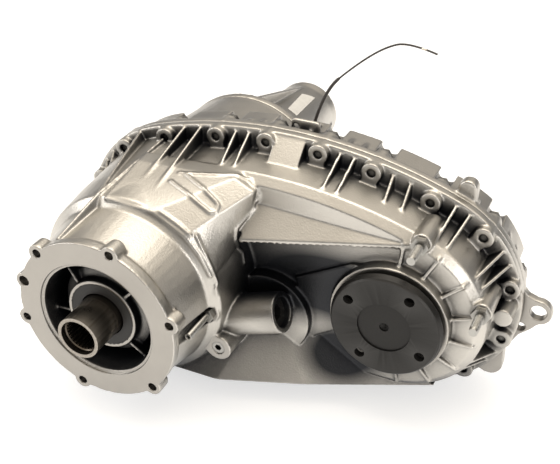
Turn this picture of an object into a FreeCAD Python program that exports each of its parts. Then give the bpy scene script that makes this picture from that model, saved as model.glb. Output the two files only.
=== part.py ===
import FreeCAD, Part
import math
import os

import Sketcher
from FreeCAD import Placement, Rotation, Vector

# The document and its sheet of driving dimensions

doc = FreeCAD.newDocument("transfer_case")
sheet = doc.addObject("Spreadsheet::Sheet", "Sizes")


class Size:
    """A dimension that knows its number and its formula in the sheet."""

    def __init__(self, value, formula):
        self.value = value
        self.formula = formula

    def joined(self, other, sign, number):
        other = as_size(other)
        return Size(number(self.value, other.value), f"({self.formula} {sign} {other.formula})")

    def __add__(self, other):
        return self.joined(other, "+", lambda a, b: a + b)

    def __radd__(self, other):
        return as_size(other) + self

    def __sub__(self, other):
        return self.joined(other, "-", lambda a, b: a - b)

    def __rsub__(self, other):
        return as_size(other) - self

    def __mul__(self, other):
        return self.joined(other, "*", lambda a, b: a * b)

    def __rmul__(self, other):
        return as_size(other) * self

    def __truediv__(self, other):
        return self.joined(other, "/", lambda a, b: a / b)

    def __rtruediv__(self, other):
        return as_size(other) / self

    def __neg__(self):
        return as_size(0) - self


def as_size(number):
    """Turn a plain number into a Size; a Size comes back as it is."""
    if isinstance(number, Size):
        return number
    return Size(float(number), f"{float(number):.9g}")


def cosine(angle):
    """Cosine of an angle in degrees."""
    angle = as_size(angle)
    return Size(math.cos(math.radians(angle.value)), f"cos({angle.formula} * 1 deg)")


def sine(angle):
    """Sine of an angle in degrees."""
    angle = as_size(angle)
    return Size(math.sin(math.radians(angle.value)), f"sin({angle.formula} * 1 deg)")


class SizeTable:
    """Every named size of the object, one row of the sheet each."""

    def __init__(self, numbers):
        for row, (name, number) in enumerate(numbers.items(), start=1):
            sheet.set(f"A{row}", name)
            sheet.set(f"B{row}", str(number))
            sheet.setAlias(f"B{row}", name)
            setattr(self, name, Size(float(number), f"Sizes.{name}"))


# Every size that can be set by itself, in millimetres and degrees

sizes = {
    # Two shaft axes, the parting line and the planes along the shafts
    "chain_pitch": 12.7,
    "chain_centre_pitches": 19,
    "sprocket_teeth": 28,
    "input_lobe_r": 107,
    "output_lobe_r": 99.5,
    "crown_r": 463,
    "seam_y": 185,
    "rear_face_y": 320,
    "tail_end_y": 498,
    "running_gap": 0.05,
    "free_gap": 0.3,
    "seat_gap": 0.02,
    # The case bolts and their bosses
    "case_bolt_r": 4,
    "case_bolt_hole_r": 4.2,
    "case_bolt_tip_depth": 3,
    "case_boss_r": 9.9,
    "input_bolt_first": 100,
    "input_bolt_step": 29,
    "input_bolt_count": 7,
    "crown_bolt_first": 98.8,
    "crown_bolt_step": 6.6,
    "crown_bolt_count": 4,
    "output_bolt_first": 82,
    "output_bolt_step": 33,
    "output_bolt_count": 6,
    "floor_bolt_first": 68,
    "floor_bolt_step": 61,
    "floor_bolt_count": 3,
    # The front case
    "adapter_rim_r": 82,
    "adapter_plate": 10,
    "adapter_lobe_r": 8.6,
    "adapter_lobe_depth": 16,
    "adapter_bolt_circle_r": 80.5,
    "adapter_bolt_first": 14,
    "adapter_bolt_count": 6,
    "adapter_bolt_hole_r": 4.25,
    "adapter_dowel_angle": 163.4,
    "adapter_dowel_circle_r": 78.5,
    "adapter_dowel_hole_r": 5.3,
    "adapter_step_r": 59.5,
    "adapter_step_depth": 2.5,
    "recess_r": 56.5,
    "recess_floor_r": 55.5,
    "recess_depth": 48,
    "recess_rib": 3,
    "hub_front": 11,
    "hub_front_r": 36,
    "hub_waist_y": 24,
    "hub_r": 46.5,
    "input_seal_r": 32.5,
    "input_seal_depth": 10,
    "seal_shoulder_r": 30,
    "input_bearing_front": 25,
    "input_bearing_length": 16,
    "input_bearing_r": 40,
    "ring_gear_r": 75,
    "ring_gear_bore_front": 62,
    "drum_step_y": 98,
    "drum_bore_r": 88,
    "drum_neck_r": 79.5,
    "drum_waist_r": 87,
    "drum_waist_y": 56,
    "drum_shoulder_r": 96,
    "drum_shoulder_y": 64,
    "drum_middle_r": 100,
    "drum_rear_r": 105,
    "chain_front_y": 126,
    "chain_front_round": 8,
    "chain_front_offset": 22,
    "chain_wall_offset": 14,
    "chain_rear_offset": 10,
    "case_wall": 6.5,
    "drum_inset": 19,
    "lip_offset": 9.5,
    "lip_length": 9,
    "boss_length": 17,
    "boss_block_width": 16,
    "rib_width": 3,
    "rib_reach": 40,
    "rib_spread": 7,
    "rear_rib_reach": 20,
    "rib_root": 8,
    "rib_heel": 3,
    "long_rib_front": 72,
    "long_rib_height": 6,
    "long_rib_left": 1,
    "long_rib_right": 19,
    "wide_rib_front": 147,
    "wide_rib_left": 217,
    "wide_rib_right": 234,
    "neck_rib_width": 3.4,
    "neck_rib_height": 3,
    "neck_rib_node_angle": 107,
    "neck_rib_flange_angle": 119,
    "neck_rib_lip_angle": 99,
    "neck_rib_side_angle": 117.5,
    "pocket_pad_x": 115,
    "pocket_pad_width": 31,
    "pocket_pad_front": 153,
    "lip_bump_x": 337,
    "lip_bump_z": 8,
    "lip_bump_r": 9,
    "lip_bump_front": 150,
    "output_ring_r": 57,
    "output_ring_front": 113,
    "output_seal_r": 38,
    "output_seal_front": 113.5,
    "output_seal_length": 9,
    "output_bearing_r": 42.5,
    "output_bearing_front": 126,
    "output_bearing_length": 19,
    "output_boss_wall": 7,
    "output_rib_count": 8,
    "output_rib_first": -82,
    "output_rib_step": 24,
    "platform_front": 121,
    "platform_left": 145,
    "platform_tip_z": 15,
    "platform_low_z": -51,
    "output_rib_front": 119,
    "output_rib_r": 87,
    "output_rib_width": 3.2,
    "shoulder_front": 60,
    "shoulder_rear": 119,
    "shoulder_top": 108,
    "shoulder_side": 104,
    "web_thickness": 4,
    "web_left": 96,
    "web_right": 252,
    "stud_circle_r": 85,
    "stud_boss_r": 9.5,
    "stud_boss_front": 125,
    "stud_upper_angle": 76,
    "stud_lower_angle": 18,
    "stud_r": 4,
    "stud_hole_depth": 14,
    "vent_x": 85,
    "vent_z": -4,
    "vent_boss_r": 10.3,
    "vent_boss_front": 60,
    "vent_tube_r": 3.5,
    "vent_space_r": 8.5,
    "gauge_x": 92,
    "gauge_z": -45,
    "gauge_boss_r": 13.5,
    "gauge_front": 62,
    "gauge_hole_r": 6.5,
    "belly_floor": 90,
    "belly_height": 42,
    "belly_taper": 32,
    "plug_x": 87,
    "plug_y": 92,
    "plug_z": -27,
    "plug_lean": 20,
    "plug_boss_r": 20,
    "plug_boss_out": 63,
    "plug_bore_start": 14,
    "plug_port_r": 4,
    "plug_socket_r": 8,
    "plug_thread_r": 14.5,
    "plug_length": 12,
    "plug_recess": 7,
    "plug_socket_depth": 7,
    "ear_x": 120,
    "ear_z": -30,
    "ear_r": 44,
    "ear_front": 112,
    "rail_x": 58,
    "rail_z": 82,
    "rail_r": 7,
    "rail_boss_r": 11,
    "rail_front": 104,
    "shift_space_front": 112,
    "shift_x": 80,
    "shift_z": 84,
    "shift_shaft_r": 6,
    "grommet_r": 3.5,
    # The rear case
    "rear_lip_length": 9,
    "rear_boss_length": 17,
    "head_space_r": 9.4,
    "head_space_length": 32,
    "rear_wall_offset": 4,
    "rear_wall_draft": 1,
    "rear_chain_inset": 13,
    "rear_wall_rear": 228,
    "rear_round": 9,
    "rear_round_offset": 18,
    "dome_front_r": 100,
    "dome_waist_r": 95,
    "dome_waist_y": 262,
    "dome_rear_r": 91.3,
    "dome_bore_r": 86,
    "dome_bore_end": 286,
    "rear_bearing_r": 42.5,
    "rear_bearing_front": 299,
    "rear_bearing_length": 19,
    "tail_bearing_r": 31,
    "tail_bearing_front": 212,
    "tail_bearing_length": 14,
    "tail_boss_r": 39,
    "tail_boss_rear": 246,
    "ear_hole_x": 364,
    "ear_hole_z": -1,
    "ear_hole_r": 7.8,
    "ear_outer_r": 13,
    "ear_plate_length": 9,
    "ear_root_z": 30,
    "ear_slot_x": 350,
    "ear_slot_z": -21,
    "ear_slot_r": 4.6,
    "ear_slot_wall": 5,
    "lobe_x": 327,
    "lobe_z": -73,
    "lobe_r": 13,
    "lobe_length": 13,
    "lug_x": 283,
    "lug_z": 108,
    "lug_r": 9,
    "lug_front": 5,
    "lug_length": 12,
    "shift_boss_r": 12,
    "shift_boss_rear": 243,
    "bracket_front": 200,
    "bracket_thickness": 5,
    "bracket_left": 104.5,
    "bracket_right": 134,
    "bracket_top": 139,
    "bracket_hole_x": 109,
    "bracket_hole_z": 131,
    "bracket_hole_r": 3,
    "lead_x": 120.5,
    "lead_y": 216,
    "lead_boss_r": 6,
    "lead_boss_top": 120,
    "lead_space_r": 8,
    "lead_space_height": 30,
    "tail_bolt_count": 8,
    "tail_bolt_circle_r": 80,
    "tail_bolt_r": 4.9,
    "tail_bolt_hole_r": 5.2,
    "tail_bolt_depth": 17,
    "dowel_r": 5,
    "dowel_length": 14,
    "dowel_input_angle": 230.5,
    "dowel_output_angle": -33.5,
    # The tail housing
    "tail_flange_length": 10,
    "tail_neck_r": 78,
    "tail_end_r": 41,
    "tail_straight": 14,
    "tail_bore_front_r": 60,
    "tail_bore_front_length": 26,
    "tail_bushing_r": 26,
    "tail_bushing_front": 440,
    "tail_bushing_length": 40,
    "tail_seal_r": 36,
    "tail_seal_length": 11,
    "tail_rib_count": 4,
    "tail_rib_width": 5,
    # Bolts, studs, plugs and the vent
    "bolt_washer_r": 9,
    "bolt_washer_length": 1.5,
    "bolt_head_r": 7.5,
    "bolt_head_length": 7,
    "stud_reach": 24,
    "stud_collar": 6,
    "stud_collar_r": 8.5,
    "vent_reach": 40,
    "vent_base_length": 6,
    "vent_base_r": 7.5,
    "vent_bore_r": 2,
    "gauge_plug_length": 10,
    "gauge_socket_r": 3.5,
    "magnet_x": 130,
    "magnet_z": -74,
    "magnet_r": 9,
    "magnet_length": 5,
    # Bearings and seals
    "race_share": 0.28,
    "shield_dish": 0.8,
    "seal_wall": 1.5,
    "input_seal_shaft_r": 21.3,
    "input_journal_r": 25,
    "output_neck_r": 25.3,
    "output_journal_r": 22.5,
    "output_tail_r": 17.5,
    "main_journal_r": 22.5,
    "yoke_r": 22.5,
    # The planetary gear
    "gear_module": 2.25,
    "sun_teeth": 36,
    "planet_teeth": 12,
    "planet_count": 4,
    "gear_pitch_half": 1.64,
    "gear_tip": 2,
    "gear_root": 2.8,
    "gear_front": 66,
    "gear_length": 26,
    "planet_pin_r": 4.5,
    "input_nose_y": -27,
    "input_bore_r": 16.7,
    "input_bore_end": 40,
    "input_lead_r": 17.6,
    "input_sleeve_r": 20.9,
    "carrier_journal_r": 27,
    "input_cavity_front": 74,
    "pilot_r": 13.95,
    "spline_teeth": 31,
    "dog_root_r": 33,
    "dog_tip_r": 30.3,
    "dog_count": 32,
    "dog_length": 9,
    "carrier_r": 64,
    "carrier_front_plate": 4,
    "carrier_rear_plate": 5.5,
    "carrier_hub_r": 40,
    "carrier_hub_length": 11.5,
    "carrier_bridge_inner_r": 46,
    "carrier_bridge_outer_r": 61,
    "carrier_bridge_width": 34,
    # The range shift
    "sleeve_bore_r": 20.05,
    "sleeve_front": 77,
    "sleeve_r": 29.9,
    "sleeve_body_length": 13,
    "sleeve_neck_r": 27,
    "sleeve_flange": 4,
    "sleeve_flange_r": 36,
    "fork_groove_front": 116,
    "fork_groove": 6,
    "fork_play": 0.2,
    "fork_hub_r": 11.2,
    "fork_hub_length": 12,
    "rail_angle": 54.7,
    "rail_length": 122,
    "cam_front": 113,
    "cam_length": 37,
    "cam_r": 9.8,
    "cam_floor_r": 6.4,
    "cam_pin_r": 1.8,
    "cam_groove_half": 3.2,
    "cam_overrun": 16,
    "cam_groove_front": 120,
    "shift_travel": 22,
    "shift_swing": 140,
    "shift_reach": 15,
    # The shafts and the chain drive
    "main_spline_r": 20,
    "main_key_r": 21.4,
    "main_key_half": 2,
    "main_key_count": 12,
    "main_key_length": 73,
    "output_spline_r": 17.2,
    "output_spline_count": 30,
    "pump_shaft_r": 21,
    "sprocket_front": 159,
    "sprocket_length": 30,
    "sprocket_seat_r": 24,
    "sprocket_tip": 0.8,
    "sprocket_root": 5.7,
    "hub_neck_r": 33,
    "hub_neck_rear": 205,
    "chain_gap": 0.1,
    "chain_height": 8,
    "chain_width": 28,
    "link_gap": 2.5,
    "flange_front": 101.5,
    "flange_r": 53.8,
    "flange_centre_r": 4.5,
    "flange_bolt_circle_r": 41.275,
    "flange_bolt_first": 59,
    "flange_bolt_count": 4,
    "flange_bolt_hole_r": 4.9,
    # The clutch, the pump and the coil lead
    "clutch_hub_r": 37,
    "clutch_hub_length": 29,
    "plates_front": 206,
    "plate_pairs": 3,
    "plate_thickness": 2.2,
    "plate_gap": 0.3,
    "drum_inner_r": 60,
    "drum_front": 198,
    "drum_length": 50,
    "ramp_ball_r": 3.2,
    "ramp_circle_r": 33,
    "coil_length": 30,
    "pump_rotor_r": 30,
    "pump_length": 13,
    "tone_r": 44,
    "tone_teeth": 24,
    "grommet_cap": 3,
    "lead_r": 0.9,
}
size = SizeTable(sizes)


def bind(item, path, wanted):
    """Give a property its number now and its formula for later changes."""
    wanted = as_size(wanted)
    item.setExpression(path, wanted.formula)


# Modelling steps that every piece uses

nodes = []


def start_body(label, x=0, y=0, z=0):
    """A body for one piece, placed in the frame of the whole object."""
    body = doc.addObject("PartDesign::Body", label)
    body.Label = label
    body.Placement = Placement(Vector(as_size(x).value, as_size(y).value, as_size(z).value), Rotation())
    for axis, place in (("x", x), ("y", y), ("z", z)):
        bind(body, f"Placement.Base.{axis}", place)
    nodes.append(body)
    return body


def origin_item(body, role):
    return next(item for item in body.Origin.OriginFeatures if item.Role == role)


def start_sketch(body, plane, along=0, turn=None, about=(0, 0)):
    """A sketch on one of the body's planes.

    On XZ the sketch lies across the shafts at the distance "along" behind the body's origin.
    On XY it holds the shaft axis: sketch x is the radius and sketch y the distance to the rear,
    turned by "turn" degrees about the axis through "about".
    On YZ it lies upright along the shafts at the distance "along" to the right, and "turn" leans
    its face up from the right.
    """
    sketch = body.newObject("Sketcher::SketchObject", body.Label + "_sketch")
    sketch.AttachmentSupport = [(origin_item(body, plane + "_Plane"), "")]
    sketch.MapMode = "FlatFace"
    along = as_size(along)
    if plane == "XZ":
        shift = Vector(as_size(about[0]).value, as_size(about[1]).value, -along.value)
        sketch.AttachmentOffset = Placement(shift, Rotation())
        bind(sketch, "AttachmentOffset.Base.x", about[0])
        bind(sketch, "AttachmentOffset.Base.y", about[1])
        bind(sketch, "AttachmentOffset.Base.z", -along)
    if plane == "XY":
        turn = as_size(0 if turn is None else turn)
        shift = Vector(as_size(about[0]).value, 0, as_size(about[1]).value)
        sketch.AttachmentOffset = Placement(shift, Rotation(Vector(0, 1, 0), -turn.value))
        bind(sketch, "AttachmentOffset.Base.x", about[0])
        bind(sketch, "AttachmentOffset.Base.z", about[1])
        bind(sketch, "AttachmentOffset.Rotation.Angle", -turn)
    if plane == "YZ":
        turn = as_size(0 if turn is None else turn)
        shift = Vector(as_size(about[0]).value, as_size(about[1]).value, along.value)
        sketch.AttachmentOffset = Placement(shift, Rotation(Vector(1, 0, 0), -turn.value))
        bind(sketch, "AttachmentOffset.Base.x", about[0])
        bind(sketch, "AttachmentOffset.Base.y", about[1])
        bind(sketch, "AttachmentOffset.Base.z", along)
        bind(sketch, "AttachmentOffset.Rotation.Angle", -turn)
    return sketch


def pin_point(sketch, geometry, end, x, y):
    """Hold one point of the sketch at x, y by two dimensions bound to the sheet."""
    for kind, place in (("DistanceX", as_size(x)), ("DistanceY", as_size(y))):
        index = sketch.addConstraint(Sketcher.Constraint(kind, -1, 1, geometry, end, place.value))
        bind(sketch, f"Constraints[{index}]", place)


def draw_polygon(sketch, points):
    """A closed outline of straight lines through points that are bound to the sheet."""
    corners = [Vector(as_size(x).value, as_size(y).value, 0) for x, y in points]
    first = sketch.GeometryCount
    lines = [Part.LineSegment(a, b) for a, b in zip(corners, corners[1:] + corners[:1])]
    sketch.addGeometry(lines, False)
    count = len(lines)
    for number in range(count):
        following = first + (number + 1) % count
        sketch.addConstraint(Sketcher.Constraint("Coincident", first + number, 2, following, 1))
    for number, (x, y) in enumerate(points):
        pin_point(sketch, first + number, 1, x, y)
    return sketch


def draw_circle(sketch, x, y, radius):
    """A circle whose centre and radius are bound to the sheet."""
    radius = as_size(radius)
    centre = Vector(as_size(x).value, as_size(y).value, 0)
    circle = sketch.addGeometry(Part.Circle(centre, Vector(0, 0, 1), radius.value), False)
    pin_point(sketch, circle, 3, x, y)
    index = sketch.addConstraint(Sketcher.Constraint("Radius", circle, radius.value))
    bind(sketch, f"Constraints[{index}]", radius)
    return circle


def finish(body, feature):
    body.Tip = feature
    return feature


def pad(body, sketch, length, middle=False, forward=False):
    """Material from a sketch: to the rear from an XZ sketch unless forward is set."""
    feature = body.newObject("PartDesign::Pad", body.Label + "_pad")
    feature.Profile = sketch
    bind(feature, "Length", length)
    feature.Midplane = middle
    feature.Reversed = not forward and not middle
    return finish(body, feature)


def pocket(body, sketch, length, middle=False, forward=False):
    """A cut from a sketch: to the rear from an XZ sketch unless forward is set."""
    feature = body.newObject("PartDesign::Pocket", body.Label + "_pocket")
    feature.Profile = sketch
    bind(feature, "Length", length)
    feature.Midplane = middle
    feature.Reversed = forward and not middle
    return finish(body, feature)


def turned(body, sketch, cut=False):
    """A full turn of the sketch about its own upright axis, which lies along the shaft."""
    kind = "Groove" if cut else "Revolution"
    feature = body.newObject("PartDesign::" + kind, body.Label + "_" + kind.lower())
    feature.Profile = sketch
    feature.ReferenceAxis = (sketch, ["V_Axis"])
    feature.Angle = 360
    return finish(body, feature)


def repeated(body, feature, sketch, count):
    """Copies of a feature evenly round the axis through the origin of a sketch."""
    pattern = body.newObject("PartDesign::PolarPattern", body.Label + "_pattern")
    pattern.Originals = [feature]
    pattern.Axis = (sketch, ["N_Axis"])
    pattern.Angle = 360
    bind(pattern, "Occurrences", count)
    return finish(body, pattern)


class Piece:
    """One piece: solids of metal are joined, then tools are cut away, in turns."""

    def __init__(self, label):
        self.label = label
        self.result = None
        self.pending = []

    def sketch(self, plane, along=0, turn=0, about=(0, 0)):
        """A sketch laid as start_sketch lays one, but free of any body."""
        sketch = doc.addObject("Sketcher::SketchObject", self.label + "_sketch")
        along = as_size(along)
        turn = as_size(turn).value
        if plane == "XZ":
            spin = Rotation(Vector(1, 0, 0), 90)
            base = (as_size(about[0]), along, as_size(about[1]))
        if plane == "XY":
            spin = Rotation(Vector(0, 1, 0), -turn)
            base = (as_size(about[0]), as_size(0), as_size(about[1]))
        if plane == "YZ":
            spin = Rotation(Vector(0, 1, 0), -turn).multiply(Rotation(Vector(1, 1, 1), 120))
            base = (along, as_size(about[0]), as_size(about[1]))
        if plane == "floor":
            spin = Rotation()
            base = (as_size(about[0]), as_size(about[1]), along)
        sketch.Placement = Placement(Vector(base[0].value, base[1].value, base[2].value), spin)
        for axis, place in zip("xyz", base):
            bind(sketch, f"Placement.Base.{axis}", place)
        return sketch

    def extrude(self, sketch, length, middle=False, forward=False, taper=0):
        """Solid from a sketch: to the rear from an XZ sketch unless forward is set."""
        solid = doc.addObject("Part::Extrusion", self.label + "_extrusion")
        solid.Base = sketch
        solid.DirMode = "Normal"
        bind(solid, "LengthFwd", length)
        solid.Solid = True
        solid.Symmetric = middle
        solid.Reversed = not forward and not middle
        solid.TaperAngle = as_size(taper).value
        self.pending.append(solid)
        return solid

    def turn(self, sketch, x=0, z=0):
        """Solid from a full turn of a sketch about the shaft axis through x, z."""
        solid = doc.addObject("Part::Revolution", self.label + "_revolution")
        solid.Source = sketch
        solid.Axis = Vector(0, 1, 0)
        bind(solid, "Base.x", x)
        bind(solid, "Base.z", z)
        solid.Angle = 360
        solid.Solid = True
        self.pending.append(solid)
        return solid

    def loft(self, sketches):
        """Straight-sided solid through sketches with the same number of corners."""
        solid = doc.addObject("Part::Loft", self.label + "_loft")
        solid.Sections = sketches
        solid.Solid = True
        solid.Ruled = True
        self.pending.append(solid)
        return solid

    def cylinder(self, x, z, radius, front, length):
        sketch = self.sketch("XZ", front)
        draw_circle(sketch, x, z, radius)
        return self.extrude(sketch, length)

    def block(self, x, z, angle, inner, outer, front, rear, width):
        """A block along the shafts that points away from the axis through x, z."""
        sketch = self.sketch("XY", turn=angle, about=(x, z))
        draw_polygon(sketch, [(inner, front), (outer, front), (outer, rear), (inner, rear)])
        return self.extrude(sketch, width, middle=True)

    def join(self):
        """Join the pending solids to what is there."""
        shapes = self.pending if self.result is None else [self.result] + self.pending
        self.pending = []
        if len(shapes) == 1:
            self.result = shapes[0]
            return
        joined = doc.addObject("Part::MultiFuse", self.label + "_metal")
        joined.Shapes = shapes
        self.result = joined

    def cut(self):
        """Cut the pending solids away from what is there."""
        tool = doc.addObject("Part::Compound", self.label + "_tools")
        tool.Links = self.pending
        cut = doc.addObject("Part::Cut", self.label + "_cut")
        cut.Base = self.result
        cut.Tool = tool
        self.result = cut
        self.pending = []

    def close(self):
        """The finished piece takes the name of its node."""
        self.result.Label = self.label
        nodes.append(self.result)


def root(number):
    """Square root of a size."""
    number = as_size(number)
    return Size(math.sqrt(number.value), f"sqrt({number.formula})")


# Where the two shaft axes stand apart

size.chain_centres = size.chain_pitch * size.chain_centre_pitches
output_x = size.chain_centres


def crown_centre():
    """Centre of the big top arc that touches both end arcs of the bolt line."""
    to_input = size.crown_r - size.input_lobe_r
    to_output = size.crown_r - size.output_lobe_r
    across = (output_x * output_x + to_input * to_input - to_output * to_output) / (output_x * 2)
    down = root(to_input * to_input - across * across)
    return across, -down


def draw_outline(sketch, offset):
    """The case outline: input arc, output arc, a crown arc over the top and a flat bottom."""
    offset = as_size(offset)
    centre_x, centre_z = crown_centre()
    input_r = size.input_lobe_r + offset
    output_r = size.output_lobe_r + offset
    crown_r = size.crown_r + offset
    lean = math.degrees(math.asin((input_r.value - output_r.value) / output_x.value))
    bottom = lean - 90
    top_input = math.degrees(math.atan2(-centre_z.value, -centre_x.value))
    top_output = math.degrees(math.atan2(-centre_z.value, output_x.value - centre_x.value))

    def arc(x, z, radius, start, end):
        circle = Part.Circle(Vector(x, z, 0), Vector(0, 0, 1), radius)
        return Part.ArcOfCircle(circle, math.radians(start), math.radians(end))

    input_arc = arc(0, 0, input_r.value, top_input, bottom + 360)
    output_arc = arc(output_x.value, 0, output_r.value, bottom, top_output)
    crown_arc = arc(centre_x.value, centre_z.value, crown_r.value, top_output, top_input)
    floor_line = Part.LineSegment(input_arc.EndPoint, output_arc.StartPoint)
    sketch.addGeometry([input_arc, floor_line, output_arc, crown_arc], False)
    for geometry, following in ((0, 1), (1, 2), (2, 3), (3, 0)):
        sketch.addConstraint(Sketcher.Constraint("Tangent", geometry, 2, following, 1))
    pin_point(sketch, 0, 3, 0, 0)
    pin_point(sketch, 2, 3, output_x, 0)
    for geometry, radius in ((0, input_r), (2, output_r), (3, crown_r)):
        index = sketch.addConstraint(Sketcher.Constraint("Radius", geometry, radius.value))
        bind(sketch, f"Constraints[{index}]", radius)
    return sketch


# Case bolts: where they stand on the bolt line


def case_bolt_runs():
    """Each run of case bolts: centre, radius and the list of angles."""
    crown_x, crown_z = crown_centre()
    runs = [
        (0, 0, size.input_lobe_r, size.input_bolt_first, size.input_bolt_step, size.input_bolt_count),
        (crown_x, crown_z, size.crown_r, size.crown_bolt_first, -size.crown_bolt_step,
         size.crown_bolt_count),
        (output_x, 0, size.output_lobe_r, size.output_bolt_first, -size.output_bolt_step,
         size.output_bolt_count),
    ]
    return runs


def case_bolt_places():
    """The x, z place of every case bolt."""
    places = []
    for x, z, radius, first, step, count in case_bolt_runs():
        for number in range(round(count.value)):
            angle = first + step * number
            places.append((x + radius * cosine(angle), z + radius * sine(angle)))
    fall = (size.input_lobe_r - size.output_lobe_r) / output_x
    for number in range(round(size.floor_bolt_count.value)):
        across = size.floor_bolt_first + size.floor_bolt_step * number
        places.append((across, across * fall - size.input_lobe_r))
    return places


dowel_places = [
    (
        size.input_lobe_r * cosine(size.dowel_input_angle),
        size.input_lobe_r * sine(size.dowel_input_angle),
    ),
    (
        output_x + size.output_lobe_r * cosine(size.dowel_output_angle),
        size.output_lobe_r * sine(size.dowel_output_angle),
    ),
]

# Front case: one aluminium casting with the adapter flange, the planetary drum, the front half of
# the chain case and the bearing bore of the front output


front_case = Piece("front_case")

chain_sections = []
for chain_y, chain_offset in (
    (size.chain_front_y, size.chain_front_offset),
    (size.chain_front_y + size.chain_front_round, size.chain_wall_offset),
    (size.seam_y, size.chain_rear_offset),
):
    chain_sections.append(draw_outline(front_case.sketch("XZ", chain_y), -chain_offset))
front_case.loft(chain_sections)

drum_outline = front_case.sketch("XY")
draw_polygon(
    drum_outline,
    [
        (0, 0),
        (size.adapter_rim_r, 0),
        (size.adapter_rim_r, size.adapter_plate),
        (size.drum_neck_r, size.adapter_plate + 2),
        (size.drum_waist_r, size.drum_waist_y),
        (size.drum_shoulder_r, size.drum_shoulder_y),
        (size.drum_middle_r, size.drum_step_y),
        (size.drum_rear_r, size.seam_y),
        (0, size.seam_y),
    ],
)
front_case.turn(drum_outline)


def adapter_bolt_places():
    """The x, z place of every adapter bolt hole."""
    step = 360 / size.adapter_bolt_count
    places = []
    for number in range(round(size.adapter_bolt_count.value)):
        angle = size.adapter_bolt_first + step * number
        circle_r = size.adapter_bolt_circle_r
        places.append((circle_r * cosine(angle), circle_r * sine(angle)))
    return places


adapter_dowel = (
    size.adapter_dowel_circle_r * cosine(size.adapter_dowel_angle),
    size.adapter_dowel_circle_r * sine(size.adapter_dowel_angle),
)


def draw_holes(sketch, places, radius):
    """One circle at each place."""
    for place in places:
        draw_circle(sketch, place[0], place[1], radius)
    return sketch


adapter_lobes = front_case.sketch("XZ")
draw_holes(adapter_lobes, adapter_bolt_places() + [adapter_dowel], size.adapter_lobe_r)
front_case.extrude(adapter_lobes, size.adapter_lobe_depth)

front_lip = front_case.sketch("XZ", size.seam_y - size.lip_length)
front_case.extrude(draw_outline(front_lip, size.lip_offset), size.lip_length)
front_bosses = front_case.sketch("XZ", size.seam_y - size.boss_length)
front_case.extrude(draw_holes(front_bosses, case_bolt_places(), size.case_boss_r), size.boss_length)


def add_gusset(casting, x, z, angle, inner, outer, tip, base, width):
    """A thin rib that rises from the wall at its tip to the lip at its base."""
    sketch = casting.sketch("XY", turn=angle, about=(x, z))
    root_r = inner - size.rib_root
    low = base - size.rib_heel if tip.value < base.value else base + size.rib_heel
    draw_polygon(sketch, [(root_r, tip), (inner, tip), (outer, low), (outer, base), (root_r, base)])
    return casting.extrude(sketch, width, middle=True)


def rib_section(casting, y, x, angle, inner, outer, width):
    """The outline of a rib across the shafts, pointing away from the shaft axis through x."""
    sketch = casting.sketch("XZ", y)
    corners = []
    for radius, side in ((inner, -1), (inner, 1), (outer, 1), (outer, -1)):
        half = width / 2 * side
        corners.append((
            x + radius * cosine(angle) - half * sine(angle),
            radius * sine(angle) + half * cosine(angle),
        ))
    return draw_polygon(sketch, corners)


def add_skew_rib(casting, stations, x, width):
    """A rib that wanders round the shaft axis: each station is y, angle, inner and outer radius."""
    for start, end in zip(stations, stations[1:]):
        casting.loft([
            rib_section(casting, y, x, angle, inner, outer, width)
            for y, angle, inner, outer in (start, end)
        ])


def add_upright_rib(casting, x, front, low, high, root_z):
    """A gusset on a plane along the shafts and upright, from a wall at low up to the lip at high."""
    sketch = casting.sketch("YZ", x - size.rib_width / 2)
    base = size.seam_y
    draw_polygon(
        sketch,
        [(front, root_z), (front, low), (base - size.rib_heel, high), (base, high), (base, root_z)],
    )
    return casting.extrude(sketch, size.rib_width, forward=True)


def crown_height(x, offset):
    """Height of the top arc of the case at x, moved outwards by an offset."""
    crown_x, crown_z = crown_centre()
    radius = size.crown_r + offset
    return crown_z + root(radius * radius - (x - crown_x) * (x - crown_x))


# Plain gussets stand in pairs between the bolts of one run, except where the long ones and the
# filled pocket are

plain_gaps = {0: (1, 2, 3, 4, 5), 1: (0, 2), 2: (0, 1, 3, 4)}
for run_number, (run_x, run_z, run_r, first, step, count) in enumerate(case_bolt_runs()):
    wall_r = run_r - size.chain_wall_offset
    for number in range(round(count.value)):
        front_case.block(
            run_x, run_z, first + step * number, wall_r - size.rib_root, run_r,
            size.seam_y - size.boss_length, size.seam_y, size.boss_block_width,
        )
    for number in range(round(count.value) - 1):
        if number not in plain_gaps[run_number]:
            continue
        middle = first + step * number + step / 2
        half = math.degrees(size.rib_spread.value / run_r.value)
        for side in (-1, 1):
            add_gusset(
                front_case, run_x, run_z, middle + side * half, wall_r, run_r + size.lip_offset,
                size.seam_y - size.lip_length - size.rib_reach, size.seam_y, size.rib_width,
            )

for rib_x, rib_front in (
    (size.long_rib_left, size.long_rib_front),
    (size.long_rib_right, size.long_rib_front),
    (size.wide_rib_left, size.wide_rib_front),
    (size.wide_rib_right, size.wide_rib_front),
):
    wall_top = crown_height(rib_x, -size.chain_wall_offset)
    rib_low = wall_top - 2
    if rib_front.value < size.drum_step_y.value:
        rib_low = size.drum_shoulder_r - 1
    add_upright_rib(front_case, rib_x, rib_front, rib_low, crown_height(rib_x, size.lip_offset),
                    rib_low - size.long_rib_height)

# Two beads that meet on the drum's shoulder, one from the lip down to the adapter flange

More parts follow.
